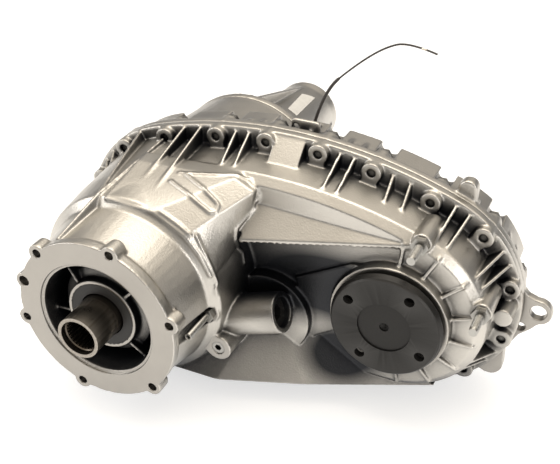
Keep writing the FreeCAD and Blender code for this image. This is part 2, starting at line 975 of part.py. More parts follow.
rib_deep = size.drum_neck_r - size.rib_root
add_skew_rib(
    front_case,
    [
        (size.adapter_plate, size.neck_rib_flange_angle, rib_deep,
         size.drum_neck_r + size.neck_rib_height),
        (size.drum_shoulder_y, size.neck_rib_node_angle, rib_deep,
         size.drum_shoulder_r + size.neck_rib_height),
        (size.seam_y, size.neck_rib_lip_angle, rib_deep,
         size.input_lobe_r + size.neck_rib_height),
    ],
    0, size.neck_rib_width,
)
add_skew_rib(
    front_case,
    [
        (size.drum_shoulder_y, size.neck_rib_node_angle, rib_deep,
         size.drum_shoulder_r + size.neck_rib_height),
        (size.seam_y, size.neck_rib_side_angle, rib_deep, size.input_lobe_r + size.lip_offset),
    ],
    0, size.neck_rib_width,
)

# The filled pocket under the bracket and the round bump beside the ear

pad_low = crown_height(size.pocket_pad_x, -size.chain_wall_offset) - size.rib_root
pocket_pad = front_case.sketch("YZ", size.pocket_pad_x - size.pocket_pad_width / 2)
draw_polygon(
    pocket_pad,
    [
        (size.pocket_pad_front, pad_low),
        (size.pocket_pad_front, pad_low + size.rib_root),
        (size.seam_y - size.lip_length, crown_height(size.pocket_pad_x, size.lip_offset) - 2),
        (size.seam_y, crown_height(size.pocket_pad_x, size.lip_offset) - 2),
        (size.seam_y, pad_low),
    ],
)
front_case.extrude(pocket_pad, size.pocket_pad_width, forward=True)
front_case.cylinder(size.lip_bump_x, size.lip_bump_z, size.lip_bump_r, size.lip_bump_front,
                    size.seam_y - size.lip_bump_front)

# The front output: bearing boss ring with radial ribs out to the case wall

output_ring = front_case.sketch("XZ", size.output_ring_front)
draw_circle(output_ring, output_x, 0, size.output_ring_r)
front_case.extrude(output_ring, size.chain_front_y + 6 - size.output_ring_front)
for number in range(round(size.output_rib_count.value)):
    angle = size.output_rib_first + size.output_rib_step * number
    sketch = front_case.sketch("XY", turn=angle, about=(output_x, 0))
    draw_polygon(
        sketch,
        [
            (size.output_ring_r - 2, size.output_rib_front),
            (size.output_rib_r - 8, size.chain_front_y - 2),
            (size.output_rib_r - 4, size.chain_front_y + 6),
            (size.output_ring_r - 2, size.chain_front_y + 6),
        ],
    )
    front_case.extrude(sketch, size.output_rib_width, middle=True)

# The raised platform that points from the output boss to the filler

platform = front_case.sketch("XZ", size.platform_front)
draw_polygon(
    platform,
    [
        (size.platform_left, size.platform_tip_z),
        (output_x - size.output_ring_r * 0.73, size.output_ring_r * 0.8),
        (output_x - size.output_ring_r * 0.25, size.output_ring_r * 0.9),
        (output_x, 0),
        (output_x - size.output_ring_r, size.output_ring_r * -0.63),
        (size.platform_left + 17, size.platform_low_z),
    ],
)
front_case.extrude(platform, size.chain_front_y + 6 - size.platform_front)

# The raised shoulder over the shift parts, from the drum up to the top of the chain case

shoulder_start = front_case.sketch("XZ", size.shoulder_front)
draw_polygon(
    shoulder_start,
    [(0, 0)] + [
        (size.drum_shoulder_r * cosine(angle), size.drum_shoulder_r * sine(angle))
        for angle in (102, 72, 50, 36, 22)
    ],
)
shoulder_outline = [
    (0, 0),
    (-20, size.shoulder_top - 4),
    (size.shoulder_side - 20, size.shoulder_top + 1),
    (size.shoulder_side, size.shoulder_top - 9),
    (size.shoulder_side - 4, size.shoulder_top - 36),
    (size.shoulder_side - 11, size.shoulder_top - 62),
]
shoulder_end = draw_polygon(front_case.sketch("XZ", size.shoulder_rear), shoulder_outline)
front_case.loft([shoulder_start, shoulder_end])
shoulder_block = draw_polygon(front_case.sketch("XZ", size.shoulder_rear), shoulder_outline)
front_case.extrude(
    shoulder_block, size.chain_front_y + size.chain_front_round - size.shoulder_rear + 4
)

# The thin gusset web between the shoulder and the upper shield stud

web_sections = []
for across, front, rear, front_z, rear_z in (
    (size.web_left, 101, 129, 56, 88),
    (size.web_right, 125, 132, 78, 83),
):
    sketch = front_case.sketch("YZ", across)
    draw_polygon(
        sketch,
        [(front, front_z - size.web_thickness), (rear, rear_z - size.web_thickness),
         (rear, rear_z), (front, front_z)],
    )
    web_sections.append(sketch)
front_case.loft(web_sections)

# Bosses for the shield studs, the vent, the gauge port and the filler, and the belly of the sump

stud_places = []
for angle in (size.stud_upper_angle, size.stud_lower_angle):
    stud_places.append(
        (output_x + size.stud_circle_r * cosine(angle), size.stud_circle_r * sine(angle))
    )
for place in stud_places:
    front_case.cylinder(place[0], place[1], size.stud_boss_r, size.stud_boss_front,
                        size.seam_y - size.stud_boss_front - 20)
front_case.cylinder(size.vent_x, size.vent_z, size.vent_boss_r, size.vent_boss_front, 40)
front_case.cylinder(size.gauge_x, size.gauge_z, size.gauge_boss_r, size.gauge_front, 55)

belly = front_case.sketch("floor", -size.belly_floor)
draw_polygon(
    belly,
    [(20, 66), (88, 66), (168, 95), (285, 148), (285, 178), (20, 178)],
)
front_case.extrude(belly, size.belly_height, forward=True, taper=-size.belly_taper)

front_case.cylinder(size.ear_x, size.ear_z, size.ear_r, size.ear_front, 20)


def plug_axis_sketch(casting, distance, along_y):
    """A sketch across the leaning filler axis, a distance out from its foot."""
    x = size.plug_x + distance * cosine(size.plug_lean)
    z = size.plug_z + distance * sine(size.plug_lean)
    return casting.sketch("YZ", x, size.plug_lean, (along_y, z))


filler_boss = plug_axis_sketch(front_case, 0, size.plug_y)
draw_circle(filler_boss, 0, 0, size.plug_boss_r)
front_case.extrude(filler_boss, size.plug_boss_out, forward=True)
front_case.join()

# Cuts: the recess and bores round the input shaft, the chain space and the output bores

input_bores = front_case.sketch("XY")
draw_polygon(
    input_bores,
    [
        (0, -1),
        (size.adapter_step_r, -1),
        (size.adapter_step_r, size.adapter_step_depth),
        (size.recess_r, size.adapter_step_depth),
        (size.recess_floor_r, size.recess_depth),
        (size.hub_r + 1, size.recess_depth),
        (size.hub_r, size.hub_waist_y),
        (size.hub_front_r + 0.5, size.hub_waist_y - 4),
        (size.hub_front_r, size.hub_front),
        (size.input_seal_r, size.hub_front),
        (size.input_seal_r, size.hub_front + size.input_seal_depth),
        (size.seal_shoulder_r, size.hub_front + size.input_seal_depth),
        (size.seal_shoulder_r, size.input_bearing_front),
        (size.input_bearing_r + size.seat_gap, size.input_bearing_front),
        (size.input_bearing_r + size.seat_gap, size.recess_depth + 2),
        (size.ring_gear_r + size.seat_gap, size.ring_gear_bore_front),
        (size.ring_gear_r + size.seat_gap, size.drum_step_y),
        (size.drum_bore_r, size.drum_step_y),
        (size.drum_bore_r, size.seam_y + 1),
        (0, size.seam_y + 1),
    ],
)
front_case.turn(input_bores)

chain_space_front = size.chain_front_y + size.case_wall
chain_space = front_case.sketch("XZ", chain_space_front)
draw_outline(chain_space, -size.drum_inset)
front_case.extrude(chain_space, size.seam_y + 1 - chain_space_front)

output_bores = front_case.sketch("XY", about=(output_x, 0))
output_bearing_rear = size.output_bearing_front + size.output_bearing_length
draw_polygon(
    output_bores,
    [
        (0, size.output_ring_front - 1),
        (size.output_seal_r, size.output_ring_front - 1),
        (size.output_seal_r, size.output_seal_front + size.output_seal_length),
        (size.output_seal_r - 4, size.output_seal_front + size.output_seal_length),
        (size.output_seal_r - 4, size.output_bearing_front),
        (size.output_bearing_r + size.seat_gap, size.output_bearing_front),
        (size.output_bearing_r + size.seat_gap, output_bearing_rear + 3),
        (0, output_bearing_rear + 3),
    ],
)
front_case.turn(output_bores, output_x)
shift_space = front_case.sketch("XZ", size.shift_space_front)
draw_polygon(shift_space, [(30, 60), (44, 96), (84, 96), (93, 88), (93, 72), (66, 46)])
front_case.extrude(shift_space, chain_space_front - size.shift_space_front + 4)
front_case.cut()

# Metal that stands inside the cut spaces: the output bearing boss, the hub ribs and the rail boss

inner_boss = front_case.sketch("XY", about=(output_x, 0))
draw_polygon(
    inner_boss,
    [
        (size.output_bearing_r + size.seat_gap, output_bearing_rear - 2),
        (size.output_bearing_r + size.output_boss_wall, output_bearing_rear - 2),
        (size.output_bearing_r + size.output_boss_wall + 2, chain_space_front - 2),
        (size.output_bearing_r + size.seat_gap, chain_space_front - 2),
    ],
)
front_case.turn(inner_boss, output_x)
for angle in (133, -45, -168, 45):
    sketch = front_case.sketch("XY", turn=angle)
    draw_polygon(
        sketch,
        [
            (size.hub_front_r - 1, size.hub_front + 2),
            (size.recess_r + 1, size.hub_front + 6),
            (size.recess_r + 1, size.recess_depth + 1),
            (size.hub_r - 3, size.recess_depth + 1),
            (size.hub_r - 3, size.hub_waist_y),
            (size.hub_front_r - 1, size.hub_waist_y - 4),
        ],
    )
    front_case.extrude(sketch, size.recess_rib, middle=True)
front_case.join()

# Holes: adapter bolts and dowel, case bolts, shield studs, vent, gauge port, filler and rail

adapter_holes = front_case.sketch("XZ", -1)
draw_holes(adapter_holes, adapter_bolt_places(), size.adapter_bolt_hole_r)
draw_circle(adapter_holes, adapter_dowel[0], adapter_dowel[1], size.adapter_dowel_hole_r)
front_case.extrude(adapter_holes, size.adapter_lobe_depth + 2)
case_holes = front_case.sketch("XZ", size.seam_y - size.boss_length - 1)
draw_holes(case_holes, case_bolt_places(), size.case_bolt_hole_r)
front_case.extrude(case_holes, size.boss_length + 2)
stud_holes = front_case.sketch("XZ", size.stud_boss_front - 1)
draw_holes(stud_holes, stud_places, size.stud_r)
front_case.extrude(stud_holes, size.stud_hole_depth + 1)
front_case.cylinder(size.vent_x, size.vent_z, size.vent_tube_r, size.vent_boss_front - 1, 11)
front_case.cylinder(size.vent_x, size.vent_z, size.vent_space_r, size.adapter_plate,
                    size.vent_boss_front - size.adapter_plate)
stud_spaces = front_case.sketch("XZ", size.stud_boss_front - size.stud_collar - 3)
draw_holes(stud_spaces, stud_places, size.stud_collar_r + size.free_gap)
front_case.extrude(stud_spaces, size.stud_collar + 3)
front_case.cylinder(size.gauge_x, size.gauge_z, size.gauge_hole_r, size.gauge_front - 1, 17)
front_case.cylinder(size.rail_x, size.rail_z, size.rail_r + size.seat_gap, size.rail_front, 20)
front_case.cylinder(size.shift_x, size.shift_z, size.shift_shaft_r + size.running_gap,
                    size.rail_front, 20)
filler_bore = plug_axis_sketch(front_case, size.plug_bore_start, size.plug_y)
draw_circle(filler_bore, 0, 0, size.plug_thread_r)
front_case.extrude(filler_bore, size.plug_boss_out, forward=True)
filler_port = plug_axis_sketch(front_case, -size.plug_bore_start, size.plug_y + 11)
draw_circle(filler_port, 0, 0, size.plug_port_r)
front_case.extrude(filler_port, size.plug_bore_start * 2 + 6, forward=True)
front_dowels = front_case.sketch("XZ", size.seam_y - size.dowel_length / 2)
draw_holes(front_dowels, dowel_places, size.dowel_r + size.seat_gap)
front_case.extrude(front_dowels, size.dowel_length)
front_case.cut()
front_case.close()

# Rear case: the casting behind the parting line, with the clutch dome, the rear halves of the bolt
# bosses, the side ear that hangs the case and the bracket beside the coil lead


rear_case = Piece("rear_case")

rear_sections = []
for section_y, section_offset in (
    (size.seam_y, size.rear_wall_offset),
    (size.rear_wall_rear, size.rear_wall_offset - size.rear_wall_draft),
    (size.rear_wall_rear + size.rear_round, -size.rear_round_offset),
):
    rear_sections.append(draw_outline(rear_case.sketch("XZ", section_y), section_offset))
rear_case.loft(rear_sections)

rear_lip = rear_case.sketch("XZ", size.seam_y)
rear_case.extrude(draw_outline(rear_lip, size.lip_offset), size.rear_lip_length)
rear_bosses = rear_case.sketch("XZ", size.seam_y)
rear_case.extrude(draw_holes(rear_bosses, case_bolt_places(), size.case_boss_r), size.rear_boss_length)

for run_x, run_z, run_r, first, step, count in case_bolt_runs():
    wall_r = run_r + size.rear_wall_offset - size.rear_wall_draft
    for number in range(round(count.value) - 1):
        middle = first + step * number + step / 2
        half = math.degrees(size.rib_spread.value / run_r.value)
        for side in (-1, 1):
            add_gusset(
                rear_case, run_x, run_z, middle + side * half, wall_r, run_r + size.lip_offset,
                size.seam_y + size.rear_lip_length + size.rear_rib_reach, size.seam_y,
                size.rib_width,
            )

dome_outline = rear_case.sketch("XY")
draw_polygon(
    dome_outline,
    [
        (0, size.seam_y + 2),
        (size.dome_front_r, size.seam_y + 2),
        (size.dome_waist_r, size.dome_waist_y),
        (size.dome_rear_r, size.rear_face_y - 6),
        (size.dome_rear_r, size.rear_face_y),
        (0, size.rear_face_y),
    ],
)
rear_case.turn(dome_outline)
rear_case.cylinder(output_x, 0, size.tail_boss_r, size.rear_wall_rear - 4,
                   size.tail_boss_rear - size.rear_wall_rear + 4)
rear_case.cylinder(size.shift_x, size.shift_z, size.shift_boss_r, size.rear_wall_rear - 4,
                   size.shift_boss_rear - size.rear_wall_rear + 4)
rear_case.cylinder(size.rail_x, size.rail_z, size.rail_boss_r, size.rear_wall_rear - 4, 14)

# The side ear with its round eye, the web down to the lower lobe, and the small lifting lug

ear = rear_case.sketch("XZ", size.seam_y)
draw_circle(ear, size.ear_hole_x, size.ear_hole_z, size.ear_outer_r)
rear_case.extrude(ear, size.ear_plate_length)
ear_web = rear_case.sketch("XZ", size.seam_y)
lip_right = output_x + size.output_lobe_r
draw_polygon(
    ear_web,
    [
        (lip_right - 12, size.ear_root_z),
        (lip_right + 5, size.ear_root_z - 7),
        (lip_right + 12, size.ear_hole_z + size.ear_outer_r + 3),
        (size.ear_hole_x - 2, size.ear_hole_z + size.ear_outer_r - 0.3),
        (size.ear_hole_x + 2, size.ear_hole_z - size.ear_outer_r + 0.3),
        (size.ear_slot_x + size.ear_slot_r + size.ear_slot_wall, size.ear_slot_z - 1),
        (size.ear_slot_x, size.ear_slot_z - size.ear_slot_r - size.ear_slot_wall),
        (lip_right + 5, size.ear_slot_z - 18),
        (size.lobe_x + size.lobe_r - 2, size.lobe_z + 18),
        (size.lobe_x - 8, size.lobe_z + 16),
        (lip_right - 25, size.ear_slot_z),
    ],
)
rear_case.extrude(ear_web, size.ear_plate_length)
rear_case.cylinder(size.lobe_x, size.lobe_z, size.lobe_r, size.seam_y, size.lobe_length)
lower_lobe = rear_case.sketch("XZ", size.seam_y)
draw_polygon(
    lower_lobe,
    [
        (size.lobe_x - 8, size.lobe_z + 22),
        (size.lobe_x + size.lobe_r - 1, size.lobe_z + 20),
        (size.lobe_x + size.lobe_r - 0.3, size.lobe_z + 2),
        (size.lobe_x - 4, size.lobe_z - size.lobe_r + 0.8),
        (size.lobe_x - 20, size.lobe_z - 6),
    ],
)
rear_case.extrude(lower_lobe, size.lobe_length)
rear_case.cylinder(size.lug_x, size.lug_z, size.lug_r, size.seam_y + size.lug_front, size.lug_length)
lug_foot = rear_case.sketch("XZ", size.seam_y + size.lug_front)
draw_polygon(
    lug_foot,
    [
        (size.lug_x - 16, size.lug_z - 22), (size.lug_x + size.lug_r, size.lug_z - 32),
        (size.lug_x + size.lug_r, size.lug_z), (size.lug_x - size.lug_r, size.lug_z),
    ],
)
rear_case.extrude(lug_foot, size.lug_length)

# The bracket plate on top and the boss where the coil lead comes out

bracket = rear_case.sketch("XZ", size.bracket_front)
draw_polygon(
    bracket,
    [
        (size.bracket_left, 104), (size.bracket_right, 104),
        (size.bracket_right, size.bracket_top - 2), (size.bracket_right - 2, size.bracket_top),
        (size.bracket_left + 2, size.bracket_top), (size.bracket_left, size.bracket_top - 2),
    ],
)
rear_case.extrude(bracket, size.bracket_thickness)
lead_boss = rear_case.sketch("floor", 100, about=(size.lead_x, size.lead_y))
draw_circle(lead_boss, 0, 0, size.lead_boss_r)
rear_case.extrude(lead_boss, size.lead_boss_top - 100, forward=True)
rear_case.join()

# Cuts: the clutch bore, the chain space and the bearing bores

clutch_bore = rear_case.sketch("XY")
draw_polygon(
    clutch_bore,
    [
        (0, size.seam_y - 1),
        (size.drum_bore_r, size.seam_y - 1),
        (size.dome_bore_r, size.dome_bore_end),
        (size.rear_bearing_r - 4, size.dome_bore_end),
        (size.rear_bearing_r - 4, size.rear_bearing_front),
        (size.rear_bearing_r + size.seat_gap, size.rear_bearing_front),
        (size.rear_bearing_r + size.seat_gap, size.rear_face_y + 1),
        (0, size.rear_face_y + 1),
    ],
)
rear_case.turn(clutch_bore)
rear_chain_space = rear_case.sketch("XZ", size.seam_y - 1)
draw_outline(rear_chain_space, -size.rear_chain_inset)
rear_case.extrude(rear_chain_space, size.rear_wall_rear - size.seam_y + 1)
rear_case.cut()

# The inner boss round the rear bearing of the front output

tail_bearing_rear = size.tail_bearing_front + size.tail_bearing_length
tail_bearing_boss = rear_case.sketch("XY", about=(output_x, 0))
draw_polygon(
    tail_bearing_boss,
    [
        (0, size.tail_bearing_front + 2),
        (size.tail_boss_r - 1, size.tail_bearing_front + 2),
        (size.tail_boss_r, size.rear_wall_rear + 2),
        (0, size.rear_wall_rear + 2),
    ],
)
rear_case.turn(tail_bearing_boss, output_x)
rear_case.join()

rear_bearing_bore = rear_case.sketch("XY", about=(output_x, 0))
draw_polygon(
    rear_bearing_bore,
    [
        (0, size.tail_bearing_front),
        (size.tail_bearing_r + size.seat_gap, size.tail_bearing_front),
        (size.tail_bearing_r + size.seat_gap, tail_bearing_rear),
        (size.tail_bearing_r - 4, tail_bearing_rear),
        (size.tail_bearing_r - 4, size.tail_boss_rear - 4),
        (0, size.tail_boss_rear - 4),
    ],
)
rear_case.turn(rear_bearing_bore, output_x)
rear_holes = rear_case.sketch("XZ", size.seam_y - 1)
draw_holes(rear_holes, case_bolt_places(), size.case_bolt_hole_r)
rear_case.extrude(rear_holes, size.rear_boss_length + 2)
rear_head_spaces = rear_case.sketch("XZ", size.seam_y + size.rear_boss_length)
draw_holes(rear_head_spaces, case_bolt_places(), size.head_space_r)
rear_case.extrude(rear_head_spaces, size.head_space_length)
rear_case.cylinder(size.ear_hole_x, size.ear_hole_z, size.ear_hole_r, size.seam_y - 1,
                   size.ear_plate_length + 2)
rear_case.cylinder(size.ear_slot_x, size.ear_slot_z, size.ear_slot_r, size.seam_y - 1,
                   size.ear_plate_length + 2)
rear_case.cylinder(size.shift_x, size.shift_z, size.shift_shaft_r + size.running_gap,
                   size.rear_wall_rear - 2, 20)
rear_case.cylinder(size.rail_x, size.rail_z, size.rail_r + size.seat_gap, size.rear_wall_rear - 2, 8)
rear_case.cylinder(size.bracket_hole_x, size.bracket_hole_z, size.bracket_hole_r,
                   size.bracket_front - 1, size.bracket_thickness + 2)
lead_space = rear_case.sketch("floor", size.lead_boss_top, about=(size.lead_x, size.lead_y))
draw_circle(lead_space, 0, 0, size.lead_space_r)
rear_case.extrude(lead_space, size.lead_space_height, forward=True)
lead_hole = rear_case.sketch("floor", 90, about=(size.lead_x, size.lead_y))
draw_circle(lead_hole, 0, 0, size.grommet_r)
rear_case.extrude(lead_hole, 40, forward=True)


def tail_bolt_places():
    """The x, z place of every bolt of the tail housing."""
    step = 360 / size.tail_bolt_count
    places = []
    for number in range(round(size.tail_bolt_count.value)):
        angle = step * number + step / 2
        places.append((size.tail_bolt_circle_r * cosine(angle), size.tail_bolt_circle_r * sine(angle)))
    return places


rear_dowels = rear_case.sketch("XZ", size.seam_y - 1)
draw_holes(rear_dowels, dowel_places, size.dowel_r + size.seat_gap)
rear_case.extrude(rear_dowels, size.dowel_length / 2 + 1)
tail_holes = rear_case.sketch("XZ", size.rear_face_y - size.tail_bolt_depth)
draw_holes(tail_holes, tail_bolt_places(), size.tail_bolt_hole_r)
rear_case.extrude(tail_holes, size.tail_bolt_depth + 1)
rear_case.cut()
rear_case.close()

# Tail housing: the cone that carries the bushing and the seal of the rear output


tail_housing = Piece("tail_housing")
tail_outline = tail_housing.sketch("XY")
tail_front = size.rear_face_y
tail_seal_front = size.tail_end_y - size.tail_seal_length - 1
draw_polygon(
    tail_outline,
    [
        (size.tail_bore_front_r, tail_front),
        (size.dome_rear_r, tail_front),
        (size.dome_rear_r, tail_front + size.tail_flange_length),
        (size.tail_neck_r - 8, tail_front + size.tail_flange_length),
        (size.tail_neck_r - 14, tail_front + size.tail_flange_length + 8),
        (size.tail_end_r, size.tail_end_y - size.tail_straight),
        (size.tail_end_r, size.tail_end_y),
        (size.tail_seal_r + size.seat_gap, size.tail_end_y),
        (size.tail_seal_r + size.seat_gap, tail_seal_front),
        (size.tail_bushing_r + size.seat_gap, tail_seal_front),
        (size.tail_bushing_r + size.seat_gap, size.tail_bushing_front - 2),
        (size.tail_bushing_r + 4, size.tail_bushing_front - 8),
        (size.tail_bore_front_r - 24, tail_front + size.tail_bore_front_length + 30),
        (size.tail_bore_front_r, tail_front + size.tail_bore_front_length),
    ],
)
tail_housing.turn(tail_outline)
for number in range(round(size.tail_rib_count.value)):
    angle = 90 + 360 / size.tail_rib_count * number
    sketch = tail_housing.sketch("XY", turn=angle)
    draw_polygon(
        sketch,
        [
            (size.tail_neck_r - 18, tail_front + size.tail_flange_length - 1),
            (size.dome_rear_r - 4, tail_front + size.tail_flange_length - 1),
            (size.tail_end_r + 3, size.tail_end_y - size.tail_straight - 8),
            (size.tail_end_r - 2, size.tail_end_y - size.tail_straight - 8),
        ],
    )
    tail_housing.extrude(sketch, size.tail_rib_width, middle=True)
tail_housing.join()
tail_bolt_holes = tail_housing.sketch("XZ", tail_front - 1)
draw_holes(tail_bolt_holes, tail_bolt_places(), size.tail_bolt_hole_r)
tail_housing.extrude(tail_bolt_holes, size.tail_flange_length + 2)
head_spaces = tail_housing.sketch("XZ", tail_front + size.tail_flange_length)
draw_holes(head_spaces, tail_bolt_places(), 10)
tail_housing.extrude(head_spaces, 14)
tail_housing.cut()
tail_housing.close()

# Bolts, dowels, studs, plugs and the vent


def hexagon(sketch, x, z, corner_r):
    """A hexagon round x, z."""
    corners = []
    for number in range(6):
        angle = 60 * number
        corners.append((x + corner_r * cosine(angle), z + corner_r * sine(angle)))
    return draw_polygon(sketch, corners)


def bolt_set(label, places, shank_r, shank_front, head_front):
    """Flanged hex bolts that go in from the rear, one at each place."""
    piece = Piece(label)
    shanks = piece.sketch("XZ", shank_front)
    draw_holes(shanks, places, shank_r)
    piece.extrude(shanks, head_front - shank_front + 1)
    washers = piece.sketch("XZ", head_front)
    draw_holes(washers, places, size.bolt_washer_r)
    piece.extrude(washers, size.bolt_washer_length)
    for x, z in places:
        head = piece.sketch("XZ", head_front)
        hexagon(head, x, z, size.bolt_head_r)
        piece.extrude(head, size.bolt_head_length)
    piece.join()
    piece.close()
    return piece


bolt_set("case_bolts", case_bolt_places(), size.case_bolt_r,
         size.seam_y - size.boss_length + size.case_bolt_tip_depth,
         size.seam_y + size.rear_boss_length)
bolt_set("tail_bolts", tail_bolt_places(), size.tail_bolt_r,
         size.rear_face_y - size.tail_bolt_depth + 1, size.rear_face_y + size.tail_flange_length)

case_dowels = Piece("case_dowels")
dowels = case_dowels.sketch("XZ", size.seam_y - size.dowel_length / 2)
draw_holes(dowels, dowel_places, size.dowel_r)
case_dowels.extrude(dowels, size.dowel_length)
case_dowels.join()
case_dowels.close()

shield_studs = Piece("shield_studs")
stud_shanks = shield_studs.sketch("XZ", size.stud_boss_front - size.stud_collar - size.stud_reach)
draw_holes(stud_shanks, stud_places, size.stud_r - size.seat_gap)
shield_studs.extrude(stud_shanks, size.stud_reach + size.stud_collar + size.stud_hole_depth - 1)
for x, z in stud_places:
    collar = shield_studs.sketch("XZ", size.stud_boss_front - size.stud_collar)
    hexagon(collar, x, z, size.stud_collar_r)
    shield_studs.extrude(collar, size.stud_collar)
shield_studs.join()
shield_studs.close()

vent_tube = Piece("vent_tube")
vent_tube.cylinder(size.vent_x, size.vent_z, size.vent_tube_r - size.seat_gap,
                   size.vent_boss_front - size.vent_reach, size.vent_reach + 9)
vent_base = vent_tube.sketch("XZ", size.vent_boss_front - size.vent_base_length)
hexagon(vent_base, size.vent_x, size.vent_z, size.vent_base_r)
vent_tube.extrude(vent_base, size.vent_base_length)
vent_tube.join()
vent_tube.cylinder(size.vent_x, size.vent_z, size.vent_bore_r,
                   size.vent_boss_front - size.vent_reach - 1, size.vent_reach + 11)
vent_tube.cut()
vent_tube.close()

gauge_plug = Piece("gauge_plug")
gauge_plug.cylinder(size.gauge_x, size.gauge_z, size.gauge_hole_r - size.seat_gap,
                    size.gauge_front + 1, size.gauge_plug_length)
gauge_plug.join()
gauge_socket = gauge_plug.sketch("XZ", size.gauge_front)
hexagon(gauge_socket, size.gauge_x, size.gauge_z, size.gauge_socket_r)
gauge_plug.extrude(gauge_socket, size.gauge_plug_length / 2)
gauge_plug.cut()
gauge_plug.close()

fill_plug = Piece("fill_plug")
plug_front = size.plug_boss_out - size.plug_recess
plug_sketch = plug_axis_sketch(fill_plug, plug_front - size.plug_length, size.plug_y)
draw_circle(plug_sketch, 0, 0, size.plug_thread_r - size.seat_gap)
fill_plug.extrude(plug_sketch, size.plug_length, forward=True)
fill_plug.join()
socket_sketch = plug_axis_sketch(fill_plug, plug_front - size.plug_socket_depth, size.plug_y)
hexagon(socket_sketch, 0, 0, size.plug_socket_r)
fill_plug.extrude(socket_sketch, size.plug_socket_depth + 1, forward=True)
fill_plug.cut()
fill_plug.close()

sump_magnet = Piece("sump_magnet")
sump_magnet.cylinder(size.magnet_x, size.magnet_z, size.magnet_r, chain_space_front, size.magnet_length)
sump_magnet.join()
sump_magnet.close()

# Bearings and seals


def turned_piece(label, points, x=0, z=0):
    """A piece made by one full turn of an outline about the shaft axis through x, z."""
    piece = Piece(label)
    sketch = piece.sketch("XY", about=(x, z))
    draw_polygon(sketch, points)
    piece.turn(sketch, x, z)
    piece.join()
    piece.close()
    return piece


def bearing(label, bore, outer, front, length, x=0):
    """A sealed ball bearing: two race rings with the shields set in between them."""
    race = (outer - bore) * size.race_share
    inner_edge = bore + race
    outer_edge = outer - race
    rear = front + length
    dish = size.shield_dish
    return turned_piece(
        label,
        [
            (bore, front), (inner_edge, front), (inner_edge, front + dish),
            (outer_edge, front + dish), (outer_edge, front), (outer, front), (outer, rear),
            (outer_edge, rear), (outer_edge, rear - dish), (inner_edge, rear - dish),
            (inner_edge, rear), (bore, rear),
        ],
        x,
    )


def seal(label, shaft_r, outer, front, length, x=0):
    """A lip seal: a metal case with the lip turned in to the shaft."""
    lip_r = shaft_r + size.running_gap
    wall = size.seal_wall
    rear = front + length
    return turned_piece(
        label,
        [
            (lip_r + 1, front), (outer, front), (outer, rear), (outer - wall, rear),
            (outer - wall, front + wall), (lip_r + wall + 1, front + wall),
            (lip_r + 1, rear - 2), (lip_r, rear - 3), (lip_r + 1, front + 1),
        ],
        x,
    )


bearing("input_bearing", size.input_journal_r + size.running_gap, size.input_bearing_r,
        size.input_bearing_front, size.input_bearing_length)
bearing("output_front_bearing", size.output_journal_r + size.running_gap, size.output_bearing_r,
        size.output_bearing_front, size.output_bearing_length, output_x)
bearing("output_rear_bearing", size.output_tail_r + size.running_gap, size.tail_bearing_r,
        size.tail_bearing_front, size.tail_bearing_length, output_x)
bearing("rear_bearing", size.main_journal_r + size.running_gap, size.rear_bearing_r,
        size.rear_bearing_front, size.rear_bearing_length)
seal("input_seal", size.input_seal_shaft_r, size.input_seal_r - size.seat_gap,
     size.hub_front + 0.5, 8)
seal("output_seal", size.output_neck_r, size.output_seal_r - size.seat_gap,
     size.output_seal_front, size.output_seal_length - 0.5, output_x)
seal("tail_seal", size.yoke_r, size.tail_seal_r, tail_seal_front + 0.1, size.tail_seal_length - 1)
turned_piece(
    "tail_bushing",
    [
        (size.yoke_r + size.running_gap, size.tail_bushing_front),
        (size.tail_bushing_r, size.tail_bushing_front),
        (size.tail_bushing_r, size.tail_bushing_front + size.tail_bushing_length),
        (size.yoke_r + size.running_gap, size.tail_bushing_front + size.tail_bushing_length),
    ],
)

# Planetary gear: input shaft with the sun gear, planets on their carrier, ring gear


def tooth(base_r, base_half, tip_r, tip_half, angle=0):
    """The four corners of one straight-sided tooth that points along the given angle."""
    corners = []
    for radius, side in ((base_r, -base_half), (tip_r, -tip_half), (tip_r, tip_half), (base_r, base_half)):
        corners.append(
            (radius * cosine(angle) - side * sine(angle), radius * sine(angle) + side * cosine(angle))
        )
    return corners


def add_teeth(body, corners, front, length, count):
    sketch = start_sketch(body, "XZ", front)
    draw_polygon(sketch, corners)
    return repeated(body, pad(body, sketch, length), sketch, count)


def cut_teeth(body, corners, front, length, count):
    sketch = start_sketch(body, "XZ", front)
    draw_polygon(sketch, corners)
    return repeated(body, pocket(body, sketch, length), sketch, count)


def turned_body(label, points, x=0, z=0):
    """A body that starts from one full turn of an outline."""
    body = start_body(label, x, 0, z)
    sketch = start_sketch(body, "XY")
    draw_polygon(sketch, points)
    turned(body, sketch)
    return body


gear_tip_drop = (size.gear_pitch_half - 0.95) / 1.9
planet_pitch_r = size.gear_module * size.planet_teeth / 2
sun_pitch_r = size.gear_module * size.sun_teeth / 2
ring_pitch_r = size.gear_module * (size.sun_teeth + size.planet_teeth * 2) / 2
planet_circle_r = sun_pitch_r + planet_pitch_r


def flank(distance):
    """Half width of a gear tooth at a distance outside its pitch circle."""
    return size.gear_pitch_half - distance * gear_tip_drop


